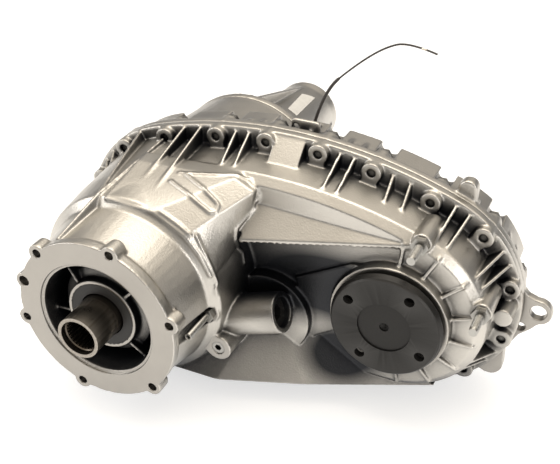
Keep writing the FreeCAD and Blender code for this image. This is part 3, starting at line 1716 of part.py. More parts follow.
gear_rear = size.gear_front + size.gear_length
input_shaft = turned_body(
    "input_shaft",
    [
        (0, size.input_bore_end),
        (size.input_bore_r, size.input_bore_end),
        (size.input_bore_r, size.input_nose_y + 7),
        (size.input_lead_r, size.input_nose_y + 6),
        (size.input_lead_r, size.input_nose_y),
        (size.input_sleeve_r, size.input_nose_y),
        (size.input_sleeve_r, 4),
        (size.input_seal_shaft_r, 6),
        (size.input_seal_shaft_r, size.input_bearing_front - 2),
        (size.input_journal_r, size.input_bearing_front - 2),
        (size.input_journal_r, size.input_bearing_front + size.input_bearing_length + 3),
        (size.carrier_journal_r, size.input_bearing_front + size.input_bearing_length + 5),
        (size.carrier_journal_r, size.gear_front - 0.5),
        (sun_pitch_r - size.gear_root, size.gear_front - 0.5),
        (sun_pitch_r - size.gear_root, gear_rear),
        (size.dog_root_r, gear_rear),
        (size.dog_root_r, size.input_cavity_front),
        (size.pilot_r + size.running_gap * 2, size.input_cavity_front),
        (size.pilot_r + size.running_gap * 2, size.input_bore_end + 6),
        (0, size.input_bore_end + 6),
    ],
)
add_teeth(
    input_shaft,
    tooth(sun_pitch_r - size.gear_root - 1, flank(-2.8), sun_pitch_r + size.gear_tip, flank(1.9)),
    size.gear_front + 0.5, size.gear_length - 0.5, size.sun_teeth,
)
add_teeth(
    input_shaft,
    tooth(size.input_bore_r + 0.5, 0.9, size.input_bore_r - 0.8, 0.7),
    size.input_nose_y + 8, size.input_bore_end - size.input_nose_y - 12, size.spline_teeth,
)
dog_angle = 180 / size.dog_count
add_teeth(
    input_shaft,
    tooth(size.dog_root_r + 0.5, 1.4, size.dog_tip_r, 1.4, dog_angle),
    size.input_cavity_front + 2, size.dog_length + 3, size.dog_count,
)

turned_piece(
    "input_snap_ring",
    [
        (size.input_journal_r + size.seat_gap, size.input_bearing_front + size.input_bearing_length + 0.3),
        (size.input_journal_r + 3.5, size.input_bearing_front + size.input_bearing_length + 0.3),
        (size.input_journal_r + 3.5, size.input_bearing_front + size.input_bearing_length + 2.3),
        (size.input_journal_r + size.seat_gap, size.input_bearing_front + size.input_bearing_length + 2.3),
    ],
)

ring_gear = turned_body(
    "ring_gear",
    [
        (ring_pitch_r + size.gear_root - 0.2, size.gear_front),
        (size.ring_gear_r, size.gear_front),
        (size.ring_gear_r, gear_rear),
        (ring_pitch_r + size.gear_root - 0.2, gear_rear),
    ],
)
add_teeth(
    ring_gear,
    tooth(ring_pitch_r + size.gear_root + 0.5, flank(-2.6), ring_pitch_r - size.gear_tip + 0.1, flank(1.8)),
    size.gear_front, size.gear_length, size.sun_teeth + size.planet_teeth * 2,
)

planet_places = []
for number in range(round(size.planet_count.value)):
    angle = 360 / size.planet_count * number
    planet_places.append((planet_circle_r * cosine(angle), planet_circle_r * sine(angle)))
for number, place in enumerate(planet_places):
    planet = turned_body(
        f"planet_{number + 1}",
        [
            (size.planet_pin_r + size.running_gap, size.gear_front + 0.5),
            (planet_pitch_r - size.gear_root + 0.2, size.gear_front + 0.5),
            (planet_pitch_r - size.gear_root + 0.2, gear_rear - 1),
            (size.planet_pin_r + size.running_gap, gear_rear - 1),
        ],
        place[0], place[1],
    )
    half_step = 180 / size.planet_teeth
    add_teeth(
        planet,
        tooth(
            planet_pitch_r - size.gear_root - 0.5, size.gear_pitch_half,
            planet_pitch_r + size.gear_tip - 0.1, flank(1.8), half_step,
        ),
        size.gear_front + 0.5, size.gear_length - 1.5, size.planet_teeth,
    )

carrier = Piece("planet_carrier")
carrier_rear = gear_rear + size.carrier_rear_plate
hub_rear = carrier_rear + size.carrier_hub_length
for points in (
    [
        (size.carrier_journal_r + size.running_gap, size.gear_front - 0.5 - size.carrier_front_plate),
        (size.carrier_r, size.gear_front - 0.5 - size.carrier_front_plate),
        (size.carrier_r, size.gear_front - 0.5),
        (size.carrier_journal_r + size.running_gap, size.gear_front - 0.5),
    ],
    [
        (size.dog_root_r, gear_rear + 0.3), (size.carrier_r, gear_rear + 0.3),
        (size.carrier_r, carrier_rear), (size.carrier_hub_r, carrier_rear),
        (size.carrier_hub_r, hub_rear), (size.dog_root_r, hub_rear),
    ],
):
    carrier_sketch = carrier.sketch("XY")
    draw_polygon(carrier_sketch, points)
    carrier.turn(carrier_sketch)
for number in range(round(size.planet_count.value)):
    angle = 360 / size.planet_count * (number + 0.5)
    carrier.block(
        0, 0, angle, size.carrier_bridge_inner_r, size.carrier_bridge_outer_r,
        size.gear_front - 1, gear_rear + 1, size.carrier_bridge_width,
    )
for number in range(round(size.dog_count.value)):
    dog_sketch = carrier.sketch("XZ", hub_rear - size.dog_length - 1)
    draw_polygon(
        dog_sketch,
        tooth(size.dog_root_r + 0.5, 1.4, size.dog_tip_r, 1.4, dog_angle * (number * 2 + 1)),
    )
    carrier.extrude(dog_sketch, size.dog_length)
carrier.join()
pin_holes = carrier.sketch("XZ", size.gear_front - size.carrier_front_plate - 2)
draw_holes(pin_holes, planet_places, size.planet_pin_r + size.seat_gap)
carrier.extrude(pin_holes, size.gear_length + 20)
carrier.cut()
carrier.close()

planet_pins = Piece("planet_pins")
pins = planet_pins.sketch("XZ", size.gear_front - 0.5 - size.carrier_front_plate)
draw_holes(pins, planet_places, size.planet_pin_r)
planet_pins.extrude(pins, size.carrier_front_plate + 0.5 + size.gear_length + size.carrier_rear_plate)
planet_pins.join()
planet_pins.close()

# Range shift: sliding sleeve, fork, rail, and the shift shaft with its cam groove

range_sleeve = turned_body(
    "range_sleeve",
    [
        (size.sleeve_bore_r, size.sleeve_front),
        (size.sleeve_r, size.sleeve_front),
        (size.sleeve_r, size.sleeve_front + size.sleeve_body_length),
        (size.sleeve_neck_r, size.sleeve_front + size.sleeve_body_length + 2),
        (size.sleeve_neck_r, size.fork_groove_front - size.sleeve_flange),
        (size.sleeve_flange_r, size.fork_groove_front - size.sleeve_flange),
        (size.sleeve_flange_r, size.fork_groove_front),
        (size.sleeve_neck_r + 2, size.fork_groove_front),
        (size.sleeve_neck_r + 2, size.fork_groove_front + size.fork_groove),
        (size.sleeve_flange_r, size.fork_groove_front + size.fork_groove),
        (size.sleeve_flange_r, size.fork_groove_front + size.fork_groove + size.sleeve_flange),
        (size.sleeve_bore_r, size.fork_groove_front + size.fork_groove + size.sleeve_flange),
    ],
)
add_teeth(
    range_sleeve,
    tooth(size.sleeve_r - 0.5, 1.3, size.dog_root_r - 0.4, 1.3),
    size.sleeve_front + 1, size.dog_length + 1, size.dog_count,
)
cut_teeth(
    range_sleeve,
    tooth(size.sleeve_bore_r - 0.5, size.main_key_half + 0.1, size.main_key_r + 0.1,
          size.main_key_half + 0.1),
    size.sleeve_front - 1, size.fork_groove_front + size.fork_groove + size.sleeve_flange
    - size.sleeve_front + 2, size.main_key_count,
)

fork_rear = size.fork_groove_front + size.fork_groove
fork = Piece("range_fork")
fork_pad = fork.sketch("XZ", size.fork_groove_front + size.fork_play)
draw_circle(fork_pad, 0, 0, size.sleeve_flange_r + 1)
fork.extrude(fork_pad, size.fork_groove - size.fork_play * 2)
rail_distance = root(size.rail_x * size.rail_x + size.rail_z * size.rail_z)
fork.block(0, 0, size.rail_angle, size.sleeve_flange_r, rail_distance - size.rail_r - 1,
           size.fork_groove_front + size.fork_play, fork_rear - size.fork_play, 22)
fork.cylinder(size.rail_x, size.rail_z, size.fork_hub_r, size.fork_groove_front - 2, size.fork_hub_length)
fork.join()
fork.cylinder(0, 0, size.sleeve_neck_r + 2.3, size.fork_groove_front - 1, size.fork_groove + 2)
fork.block(0, 0, size.rail_angle + 180, 0, size.sleeve_flange_r + 3,
           size.fork_groove_front - 1, fork_rear + 1, size.sleeve_flange_r * 2 + 6)
fork.cylinder(size.rail_x, size.rail_z, size.rail_r + size.running_gap, size.fork_groove_front - 3,
              size.fork_hub_length + 2)
fork.cut()
cam_pin = fork.sketch("YZ", size.rail_x + size.rail_r + 1.5, 0, (size.cam_groove_front, size.shift_z))
draw_circle(cam_pin, 0, 0, size.cam_pin_r)
fork.extrude(cam_pin, size.shift_x - size.rail_x - size.rail_r - 1.5 - size.cam_floor_r - 0.3, forward=True)
fork.join()
fork.close()

shift_rail = Piece("shift_rail")
shift_rail.cylinder(size.rail_x, size.rail_z, size.rail_r, size.rail_front, size.rail_length)
shift_rail.join()
shift_rail.close()

shift_shaft = turned_body(
    "shift_shaft",
    [
        (0, size.rail_front + 0.3),
        (size.shift_shaft_r, size.rail_front + 0.3),
        (size.shift_shaft_r, size.cam_front),
        (size.cam_r, size.cam_front),
        (size.cam_r, size.cam_front + size.cam_length),
        (size.shift_shaft_r, size.cam_front + size.cam_length),
        (size.shift_shaft_r, size.shift_boss_rear + size.shift_reach),
        (0, size.shift_boss_rear + size.shift_reach),
    ],
    size.shift_x, size.shift_z,
)
drive_flat = start_sketch(shift_shaft, "XZ", size.shift_boss_rear + 3)
draw_polygon(
    drive_flat,
    [(size.shift_shaft_r - 2, -10), (size.shift_shaft_r + 2, -10),
     (size.shift_shaft_r + 2, 10), (size.shift_shaft_r - 2, 10)],
)
pocket(shift_shaft, drive_flat, size.shift_reach)
groove_profile = start_sketch(shift_shaft, "XY", turn=180 - size.cam_overrun)
groove_start = size.cam_groove_front - size.shift_travel * size.cam_overrun / size.shift_swing
draw_polygon(
    groove_profile,
    [
        (size.cam_floor_r, groove_start - size.cam_groove_half),
        (size.cam_r + 1, groove_start - size.cam_groove_half),
        (size.cam_r + 1, groove_start + size.cam_groove_half),
        (size.cam_floor_r, groove_start + size.cam_groove_half),
    ],
)
groove = shift_shaft.newObject("PartDesign::SubtractiveHelix", "cam_groove")
groove.Profile = groove_profile
groove.ReferenceAxis = (groove_profile, ["V_Axis"])
groove.Mode = 0
bind(groove, "Pitch", size.shift_travel * 360 / size.shift_swing)
bind(groove, "Height", size.shift_travel * (size.shift_swing + size.cam_overrun * 2) / size.shift_swing)
groove.LeftHanded = True
finish(shift_shaft, groove)

# Main shaft, chain drive and front output

main_shaft = turned_body(
    "main_shaft",
    [
        (0, size.input_bore_end + 7),
        (size.pilot_r, size.input_bore_end + 7),
        (size.pilot_r, size.input_cavity_front + 0.3),
        (size.main_spline_r, size.input_cavity_front + 2),
        (size.main_spline_r, size.sprocket_front - 8),
        (size.sprocket_seat_r, size.sprocket_front - 7),
        (size.sprocket_seat_r, size.sprocket_front + 41),
        (size.main_journal_r, size.sprocket_front + 42),
        (size.main_journal_r, size.rear_face_y - 2),
        (size.pump_shaft_r, size.rear_face_y - 1),
        (size.pump_shaft_r, size.rear_face_y + 25),
        (size.pump_shaft_r - 3, size.rear_face_y + 27),
        (size.output_spline_r, size.tail_bushing_front),
        (size.output_spline_r, tail_seal_front),
        (0, tail_seal_front),
    ],
)
add_teeth(
    main_shaft,
    tooth(size.main_spline_r - 0.5, size.main_key_half, size.main_key_r, size.main_key_half),
    size.sleeve_front, size.main_key_length, size.main_key_count,
)
add_teeth(
    main_shaft,
    tooth(size.output_spline_r - 0.5, 1.2, size.output_spline_r + 1.2, 0.8),
    size.tail_bushing_front + 6, 36, size.output_spline_count,
)

sprocket_pitch_r = size.chain_pitch / (2 * sine(180 / size.sprocket_teeth))
sprocket_tip_r = sprocket_pitch_r + size.sprocket_tip
sprocket_rear = size.sprocket_front + size.sprocket_length


def sprocket(label, points, x=0):
    body = turned_body(label, points, x)
    return add_teeth(
        body,
        tooth(sprocket_pitch_r - size.sprocket_root - 1, 3.6, sprocket_tip_r, 1.6),
        size.sprocket_front, size.sprocket_length, size.sprocket_teeth,
    )


sprocket_root_r = sprocket_pitch_r - size.sprocket_root
sprocket(
    "drive_sprocket",
    [
        (size.sprocket_seat_r + size.running_gap, size.sprocket_front),
        (sprocket_root_r, size.sprocket_front),
        (sprocket_root_r, sprocket_rear),
        (size.hub_neck_r, sprocket_rear),
        (size.hub_neck_r, size.hub_neck_rear),
        (size.sprocket_seat_r + size.running_gap, size.hub_neck_rear),
    ],
)
sprocket(
    "driven_sprocket",
    [
        (size.sprocket_seat_r + size.seat_gap, size.sprocket_front),
        (sprocket_root_r, size.sprocket_front),
        (sprocket_root_r, sprocket_rear),
        (size.sprocket_seat_r + size.seat_gap, sprocket_rear),
    ],
    output_x,
)


def draw_loop(sketch, radius):
    """The path of the chain at a radius: two half circles and two straight runs."""
    value = as_size(radius).value
    left = Part.ArcOfCircle(Part.Circle(Vector(0, 0, 0), Vector(0, 0, 1), value), math.pi / 2, math.pi * 1.5)
    right = Part.ArcOfCircle(
        Part.Circle(Vector(output_x.value, 0, 0), Vector(0, 0, 1), value), -math.pi / 2, math.pi / 2
    )
    lower = Part.LineSegment(left.EndPoint, right.StartPoint)
    upper = Part.LineSegment(right.EndPoint, left.StartPoint)
    first = sketch.GeometryCount
    sketch.addGeometry([left, lower, right, upper], False)
    for item, following in ((0, 1), (1, 2), (2, 3), (3, 0)):
        sketch.addConstraint(Sketcher.Constraint("Tangent", first + item, 2, first + following, 1))
    pin_point(sketch, first, 3, 0, 0)
    pin_point(sketch, first + 2, 3, output_x, 0)
    index = sketch.addConstraint(Sketcher.Constraint("Radius", first, value))
    bind(sketch, f"Constraints[{index}]", radius)
    return sketch


chain_front = size.sprocket_front + 1
chain_inner_r = sprocket_tip_r + size.chain_gap
chain_outer_r = chain_inner_r + size.chain_height
chain = start_body("drive_chain")
chain_band = start_sketch(chain, "XZ", chain_front)
draw_loop(chain_band, chain_outer_r)
draw_loop(chain_band, chain_inner_r)
pad(chain, chain_band, size.chain_width)
for sign in (-1, 1):
    gap_sketch = start_sketch(chain, "XZ", chain_front - 1)
    gap_x = size.chain_pitch / 2
    draw_polygon(
        gap_sketch,
        [
            (gap_x - 1, sign * (chain_outer_r + 1)), (gap_x + 1, sign * (chain_outer_r + 1)),
            (gap_x + 0.6, sign * (chain_outer_r - size.link_gap)),
            (gap_x - 0.6, sign * (chain_outer_r - size.link_gap)),
        ],
    )
    gap = pocket(chain, gap_sketch, size.chain_width + 2)
    line = chain.newObject("PartDesign::LinearPattern", "straight_links")
    line.Originals = [gap]
    line.Direction = (gap_sketch, ["H_Axis"])
    bind(line, "Length", size.chain_pitch * (size.chain_centre_pitches - 1))
    bind(line, "Occurrences", size.chain_centre_pitches)
    finish(chain, line)
for x, first_angle in ((0, 90), (output_x, -90)):
    gap_sketch = start_sketch(chain, "XZ", chain_front - 1, about=(x, 0))
    wrap_step = 360 / size.sprocket_teeth
    corners = tooth(chain_outer_r + 1, 1, chain_outer_r - size.link_gap, 0.6, first_angle + wrap_step / 2)
    draw_polygon(gap_sketch, corners)
    gap = pocket(chain, gap_sketch, size.chain_width + 2)
    wrap = chain.newObject("PartDesign::PolarPattern", "wrapped_links")
    wrap.Originals = [gap]
    wrap.Axis = (gap_sketch, ["N_Axis"])
    wrap.Reversed = True
    bind(wrap, "Angle", 180 - wrap_step)
    bind(wrap, "Occurrences", size.sprocket_teeth / 2)
    finish(chain, wrap)

front_output_shaft = turned_body(
    "front_output_shaft",
    [
        (0, size.flange_front + 6),
        (size.flange_centre_r, size.flange_front + 3.5),
        (size.flange_centre_r, size.flange_front + 1.5),
        (size.output_neck_r + 0.2, size.flange_front + 1.5),
        (size.output_neck_r + 0.2, size.flange_front),
        (size.flange_r - 3.3, size.flange_front),
        (size.flange_r - 1.8, size.flange_front + 1.5),
        (size.flange_r, size.flange_front + 6.5),
        (size.flange_r, size.flange_front + 7.2),
        (size.output_neck_r, size.flange_front + 7.2),
        (size.output_neck_r, size.output_bearing_front - 1),
        (size.output_journal_r, size.output_bearing_front),
        (size.output_journal_r, size.sprocket_front - 7),
        (size.sprocket_seat_r, size.sprocket_front - 6),
        (size.sprocket_seat_r, sprocket_rear + 3),
        (size.output_tail_r, sprocket_rear + 5),
        (size.output_tail_r, size.tail_boss_rear - 8),
        (0, size.tail_boss_rear - 8),
    ],
    output_x,
)
flange_hole = start_sketch(front_output_shaft, "XZ", size.flange_front - 1)
hole_angle = size.flange_bolt_first
draw_circle(
    flange_hole, size.flange_bolt_circle_r * cosine(hole_angle),
    size.flange_bolt_circle_r * sine(hole_angle), size.flange_bolt_hole_r,
)
repeated(front_output_shaft, pocket(front_output_shaft, flange_hole, 10), flange_hole,
         size.flange_bolt_count)

# Clutch that sends drive to the front output: hub, plates, drum, ball ramp, armature and coil


def stepped_ring(label, steps):
    """Joined rings on the main axis, each given by bore, outer radius, front and length."""
    piece = Piece(label)
    for inner, outer, front, length in steps:
        sketch = piece.sketch("XY")
        draw_polygon(
            sketch, [(inner, front), (outer, front), (outer, front + length), (inner, front + length)]
        )
        piece.turn(sketch)
    piece.join()
    piece.close()
    return piece


stepped_ring("clutch_hub", [
    (size.hub_neck_r + size.seat_gap, size.clutch_hub_r, size.hub_neck_rear - 13, size.clutch_hub_length),
])
plate_pitch = size.plate_thickness + size.plate_gap
friction = []
steel = []
for number in range(round(size.plate_pairs.value)):
    steel_front = size.plates_front + plate_pitch * (number * 2)
    steel.append((size.clutch_hub_r + 4, size.drum_inner_r - size.seat_gap, steel_front, size.plate_thickness))
    friction.append((size.clutch_hub_r + size.seat_gap, size.drum_inner_r - 4,
                     steel_front + plate_pitch, size.plate_thickness))
stepped_ring("friction_plates", friction)
stepped_ring("steel_plates", steel)
plates_rear = size.plates_front + plate_pitch * size.plate_pairs * 2
drum_rear = size.drum_front + size.drum_length
shaft_bore = size.main_journal_r + size.seat_gap
stepped_ring("clutch_drum", [
    (size.drum_inner_r, size.drum_inner_r + 3, size.drum_front, size.drum_length),
    (shaft_bore, size.drum_inner_r + 1, drum_rear - 4, 4),
])
stepped_ring("pressure_plate", [
    (size.main_journal_r + 8, size.drum_inner_r - 0.5, plates_rear + 0.3, 5),
])
cam_front_y = plates_rear + 5.3
ball_centre_y = cam_front_y + 5.3 + size.ramp_ball_r
stepped_ring("ramp_front_cam", [
    (shaft_bore, size.main_journal_r + 19, cam_front_y, 5.2),
])
stepped_ring("ramp_rear_cam", [
    (shaft_bore, size.main_journal_r + 19, ball_centre_y + size.ramp_ball_r + 0.1,
     drum_rear - 4 - ball_centre_y - size.ramp_ball_r - 0.1),
])
ramp_balls = Piece("ramp_balls")
for number in range(3):
    angle = 120 * number
    ball = doc.addObject("Part::Sphere", "ramp_ball")
    bind(ball, "Radius", size.ramp_ball_r)
    bind(ball, "Placement.Base.x", size.ramp_circle_r * cosine(angle))
    bind(ball, "Placement.Base.y", ball_centre_y)
    bind(ball, "Placement.Base.z", size.ramp_circle_r * sine(angle))
    ramp_balls.pending.append(ball)
ramp_balls.join()
ramp_balls.close()
stepped_ring("armature", [
    (shaft_bore, size.drum_inner_r - 4, drum_rear + 0.3, 4.5),
])
stepped_ring("clutch_coil", [
    (size.main_journal_r + 8, size.drum_inner_r - 2, size.dome_bore_end - size.coil_length, size.coil_length),
])

# Oil pump and speed ring behind the rear bearing

stepped_ring("oil_pump", [
    (size.pump_rotor_r + size.running_gap, size.tail_bore_front_r - 3, size.rear_face_y, size.pump_length),
])
stepped_ring("pump_rotor", [
    (size.pump_shaft_r + size.seat_gap, size.pump_rotor_r, size.rear_face_y + 2, size.pump_length - 4),
])
tone_wheel = turned_body(
    "tone_wheel",
    [
        (size.pump_shaft_r + size.seat_gap, size.rear_face_y + 17),
        (size.tone_r - 3, size.rear_face_y + 17),
        (size.tone_r - 3, size.rear_face_y + 22),
        (size.pump_shaft_r + size.seat_gap, size.rear_face_y + 22),
    ],
)
add_teeth(
    tone_wheel, tooth(size.tone_r - 4, 2.4, size.tone_r, 2), size.rear_face_y + 17, 5, size.tone_teeth
)

# Clutch coil lead: grommet on the rear case and the stiff wire that stands up from it

lead_grommet = Piece("lead_grommet")
lead_top = size.lead_boss_top
for front_z, length, radius in (
    (lead_top - 12, 12, size.grommet_r - size.seat_gap),
    (lead_top, size.grommet_cap, size.lead_boss_r - 0.5),
):
    grommet_sketch = lead_grommet.sketch("floor", front_z, about=(size.lead_x, size.lead_y))
    draw_circle(grommet_sketch, 0, 0, radius)
    lead_grommet.extrude(grommet_sketch, length, forward=True)
lead_grommet.join()
lead_grommet.close()

lead_r = size.lead_r.value
lead_foot = Vector(size.lead_x.value, size.lead_y.value, (lead_top + size.grommet_cap).value)
lead_points = [lead_foot] + [
    lead_foot + Vector(x, 0, z)
    for x, z in ((9.5, 42), (40, 73.5), (67, 95.5), (89, 104), (115.6, 97))
]


def lead_path(points):
    """Straight runs joined by arcs that touch them, as one wire."""
    edges = []
    here = points[0]
    for before, corner, after in zip(points, points[1:], points[2:]):
        coming = corner - before
        going = after - corner
        shorter = min(coming.Length, going.Length)
        half_turn = coming.getAngle(going) / 2
        reach = 0.45 * shorter
        print("lead arc radius", round(reach / math.tan(half_turn), 1))
        coming.normalize()
        going.normalize()
        start = corner - coming * reach
        end = corner + going * reach
        inward = going - coming
        inward.normalize()
        radius = reach / math.tan(half_turn)
        centre = corner + inward * (radius / math.cos(half_turn))
        edges.append(Part.LineSegment(here, start).toShape())
        edges.append(Part.Arc(start, centre - inward * radius, end).toShape())
        here = end
    edges.append(Part.LineSegment(here, points[-1]).toShape())
    return Part.Wire(edges)


path = lead_path(lead_points)
start_direction = lead_points[1] - lead_points[0]
lead_circle = Part.Wire(Part.makeCircle(lead_r, lead_points[0], start_direction))
coil_lead = doc.addObject("Part::Feature", "coil_lead")
coil_lead.Label = "coil_lead"
coil_lead.Shape = path.makePipeShell([lead_circle], True, True)
nodes.append(coil_lead)

# State checks, then one STEP file for each piece

doc.recompute()
for item in doc.Objects:
    if "Invalid" in item.State or "Error" in item.State:
        raise RuntimeError(f"{item.Label}: {item.getStatusString()}")
labels = [item.Label for item in nodes]
if len(set(labels)) != len(labels):
    raise RuntimeError("two pieces share a label")
os.makedirs("parts", exist_ok=True)
for item in nodes:
    if item.Shape.isNull() or not item.Shape.isValid():
        raise RuntimeError(f"{item.Label}: no valid shape")
    if item.Shape.Volume <= 0:
        raise RuntimeError(f"{item.Label}: no volume")
for item in nodes:
    item.Shape.exportStep(os.path.join("parts", item.Label + ".step"))
print(len(nodes), "pieces written")
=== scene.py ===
import math

import bmesh
import bpy
import numpy as np
from mathutils import Matrix, Vector, bvhtree


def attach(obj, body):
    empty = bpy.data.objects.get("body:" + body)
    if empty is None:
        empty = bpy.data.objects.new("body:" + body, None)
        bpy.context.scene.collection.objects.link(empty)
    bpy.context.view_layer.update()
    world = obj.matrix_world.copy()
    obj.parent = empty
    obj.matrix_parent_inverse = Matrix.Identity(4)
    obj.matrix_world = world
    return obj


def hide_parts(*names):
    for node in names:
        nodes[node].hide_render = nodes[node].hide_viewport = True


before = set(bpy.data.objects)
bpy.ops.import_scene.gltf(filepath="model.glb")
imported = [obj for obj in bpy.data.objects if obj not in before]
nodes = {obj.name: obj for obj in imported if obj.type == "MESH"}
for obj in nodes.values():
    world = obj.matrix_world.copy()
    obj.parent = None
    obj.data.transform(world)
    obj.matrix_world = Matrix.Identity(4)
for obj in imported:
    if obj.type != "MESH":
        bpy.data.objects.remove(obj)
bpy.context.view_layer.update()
bpy.context.scene.view_settings.view_transform = "Standard"

# Camera
# Stands in front, to the right and above, where the photograph was taken from, with a longish
# lens. Its place comes from a fit of the flange circles and the bolt line. Sensor and lens are in
# millimetres.

CAMERA_AZIMUTH = math.radians(23.85)
CAMERA_ELEVATION = math.radians(32.17)
CAMERA_ROLL = math.radians(0.72)
CAMERA_PLACE = (0.4306, -0.5607, 0.5306)
SENSOR_WIDTH = 36
FOCAL_LENGTH = 61.14
NEAR_LIMIT = 0.01

backward = Vector((
    math.cos(CAMERA_ELEVATION) * math.sin(CAMERA_AZIMUTH),
    -math.cos(CAMERA_ELEVATION) * math.cos(CAMERA_AZIMUTH),
    math.sin(CAMERA_ELEVATION),
))
level = Vector((math.cos(CAMERA_AZIMUTH), math.sin(CAMERA_AZIMUTH), 0))
up = backward.cross(level)
right = level * math.cos(CAMERA_ROLL) + up * math.sin(CAMERA_ROLL)
up = up * math.cos(CAMERA_ROLL) - level * math.sin(CAMERA_ROLL)
lens = bpy.data.cameras.new("camera")
lens.sensor_width = SENSOR_WIDTH
lens.lens = FOCAL_LENGTH
lens.clip_start = NEAR_LIMIT
camera = bpy.data.objects.new("camera", lens)
bpy.context.collection.objects.link(camera)
camera.matrix_world = Matrix((
    (right.x, up.x, backward.x, CAMERA_PLACE[0]),
    (right.y, up.y, backward.y, CAMERA_PLACE[1]),
    (right.z, up.z, backward.z, CAMERA_PLACE[2]),
    (0, 0, 0, 1),
))
bpy.context.scene.camera = camera

# Coil lead
# A stiff insulated wire of the clutch coil that stands up from its grommet in a thicker sheath
# and bows over to the right, with a few millimetres of bare strand at its tip. Its way is in
# millimetres to the right of its foot and above it.

LEAD_FOOT = (0.1205, 0.216, 0.123)
LEAD_WAY = ((0, 0), (9.5, 42), (40, 73.5), (67, 95.5), (89, 104), (115.6, 97))
LEAD_DIAMETER = 0.0018
SHEATH_SHARE = 0.27
SHEATH_RADIUS = 0.0016
SHEATH_LIP_START = 0.97
SHEATH_LIP_RADIUS = 0.0012
TIP_POINTS = 7
TIP_RADIUS = 0.00098
TIP_TAPER = 0.0003


def flat_material(name, colour, roughness, metallic=0.0):
    """A material whose Principled shader gets its plain values; detail is added by the caller."""
    material = bpy.data.materials.new(name)
    material.use_nodes = True
    shader = material.node_tree.nodes["Principled BSDF"]
    shader.inputs["Base Color"].default_value = (*colour, 1)
    shader.inputs["Roughness"].default_value = roughness
    shader.inputs["Metallic"].default_value = metallic
    return material, shader


def math_node(tree, operation, first, second=None, third=None, clamp=False):
    """One arithmetic step on links or plain numbers."""
    node = tree.nodes.new("ShaderNodeMath")
    node.operation = operation
    node.use_clamp = clamp
    for place, value in enumerate((first, second, third)):
        if value is None:
            continue
        if isinstance(value, (int, float)):
            node.inputs[place].default_value = value
        else:
            tree.links.new(value, node.inputs[place])
    return node.outputs[0]


def mix_colour(tree, factor, first, second):
    """Blend between two colours by a factor; each may be a link or a plain colour."""
    node = tree.nodes.new("ShaderNodeMix")
    node.data_type = "RGBA"
    for name, value in (("Factor", factor), ("A", first), ("B", second)):
        sockets = [s for s in node.inputs if s.name == name and s.enabled]
        socket = sockets[-1]
        if isinstance(value, tuple):
            socket.default_value = (*value, 1)
        else:
            tree.links.new(value, socket)
    return [s for s in node.outputs if s.enabled][-1]


# Handled surface: the small unevenness that every used metal and rubber face here shares, as
# patches of polish and grime over a fine grain, with painted shade mixed into its recesses and
# lighter worn edges.

GRAIN_DETAIL = 2
GRAIN_ROUGHNESS = 0.10
RECESS_ROUGHENING = 0.18
PATCH_DETAIL = 5
PATCH_RAGGEDNESS = 0.6
PATCH_SHADE = 0.22


def noise(tree, place, scale, detail):
    """Cloudy noise whose scale comes from a link."""
    node = tree.nodes.new("ShaderNodeTexNoise")
    node.inputs["Detail"].default_value = detail
    tree.links.new(place, node.inputs["Vector"])
    tree.links.new(scale, node.inputs["Scale"])
    return node


def handled_surface():
    """The node group of the handled surface, which puts out a colour, roughness and height."""
    group = bpy.data.node_groups.new("handled_surface", "ShaderNodeTree")
    for label, kind, value in (
        ("Grain Scale", "NodeSocketFloat", 900.0),
        ("Patch Scale", "NodeSocketFloat", 22.0),
        ("Base Roughness", "NodeSocketFloat", 0.4),
        ("Roughness Spread", "NodeSocketFloat", 0.12),
        ("Recess", "NodeSocketFloat", 0.0),
        ("Edge", "NodeSocketFloat", 0.0),
        ("Colour", "NodeSocketColor", (0.7, 0.7, 0.7, 1)),
        ("Painted Shade Colour", "NodeSocketColor", (0.1, 0.1, 0.1, 1)),
        ("Edge Colour", "NodeSocketColor", (0.9, 0.9, 0.9, 1)),
    ):
        socket = group.interface.new_socket(label, in_out="INPUT", socket_type=kind)
        socket.default_value = value
    for label, kind in (
        ("Colour", "NodeSocketColor"), ("Roughness", "NodeSocketFloat"),
        ("Height", "NodeSocketFloat"),
    ):
        group.interface.new_socket(label, in_out="OUTPUT", socket_type=kind)
    given = group.nodes.new("NodeGroupInput").outputs
    result = group.nodes.new("NodeGroupOutput").inputs

    place = group.nodes.new("ShaderNodeTexCoord").outputs["Object"]
    grain = noise(group, place, given["Grain Scale"], GRAIN_DETAIL)
    patch = noise(group, place, given["Patch Scale"], PATCH_DETAIL)
    patch.inputs["Roughness"].default_value = PATCH_RAGGEDNESS

    centred = math_node(group, "SUBTRACT", patch.outputs["Fac"], 0.5)
    spread = math_node(group, "MULTIPLY", centred, given["Roughness Spread"])
    fine = math_node(group, "SUBTRACT", grain.outputs["Fac"], 0.5)
    fine = math_node(group, "MULTIPLY", fine, GRAIN_ROUGHNESS)
    rough = math_node(group, "ADD", given["Base Roughness"], spread)
    rough = math_node(group, "ADD", rough, fine)
    rough = math_node(group, "MULTIPLY_ADD", given["Recess"], RECESS_ROUGHENING, rough, clamp=True)

    shade = math_node(group, "MULTIPLY_ADD", centred, PATCH_SHADE, 1.0)
    tinted = group.nodes.new("ShaderNodeVectorMath")
    tinted.operation = "SCALE"
    group.links.new(given["Colour"], tinted.inputs[0])
    group.links.new(shade, tinted.inputs["Scale"])
    # Painted shade: the recess colour is mixed in where the Recess mask is high.
    with_painted_shade = mix_colour(group, given["Recess"], tinted.outputs[0], given["Painted Shade Colour"])
    worn = mix_colour(group, given["Edge"], with_painted_shade, given["Edge Colour"])
    group.links.new(worn, result["Colour"])
    group.links.new(rough, result["Roughness"])
    group.links.new(grain.outputs["Fac"], result["Height"])
    return group


HANDLED = handled_surface()

# Edges count as worn from this much pointiness on, and the gain sets how fast the wear grows.
EDGE_START = 0.53
EDGE_GAIN = 9.0
GRAIN_DEPTH = 0.001
SHADOW_SAMPLES = 6


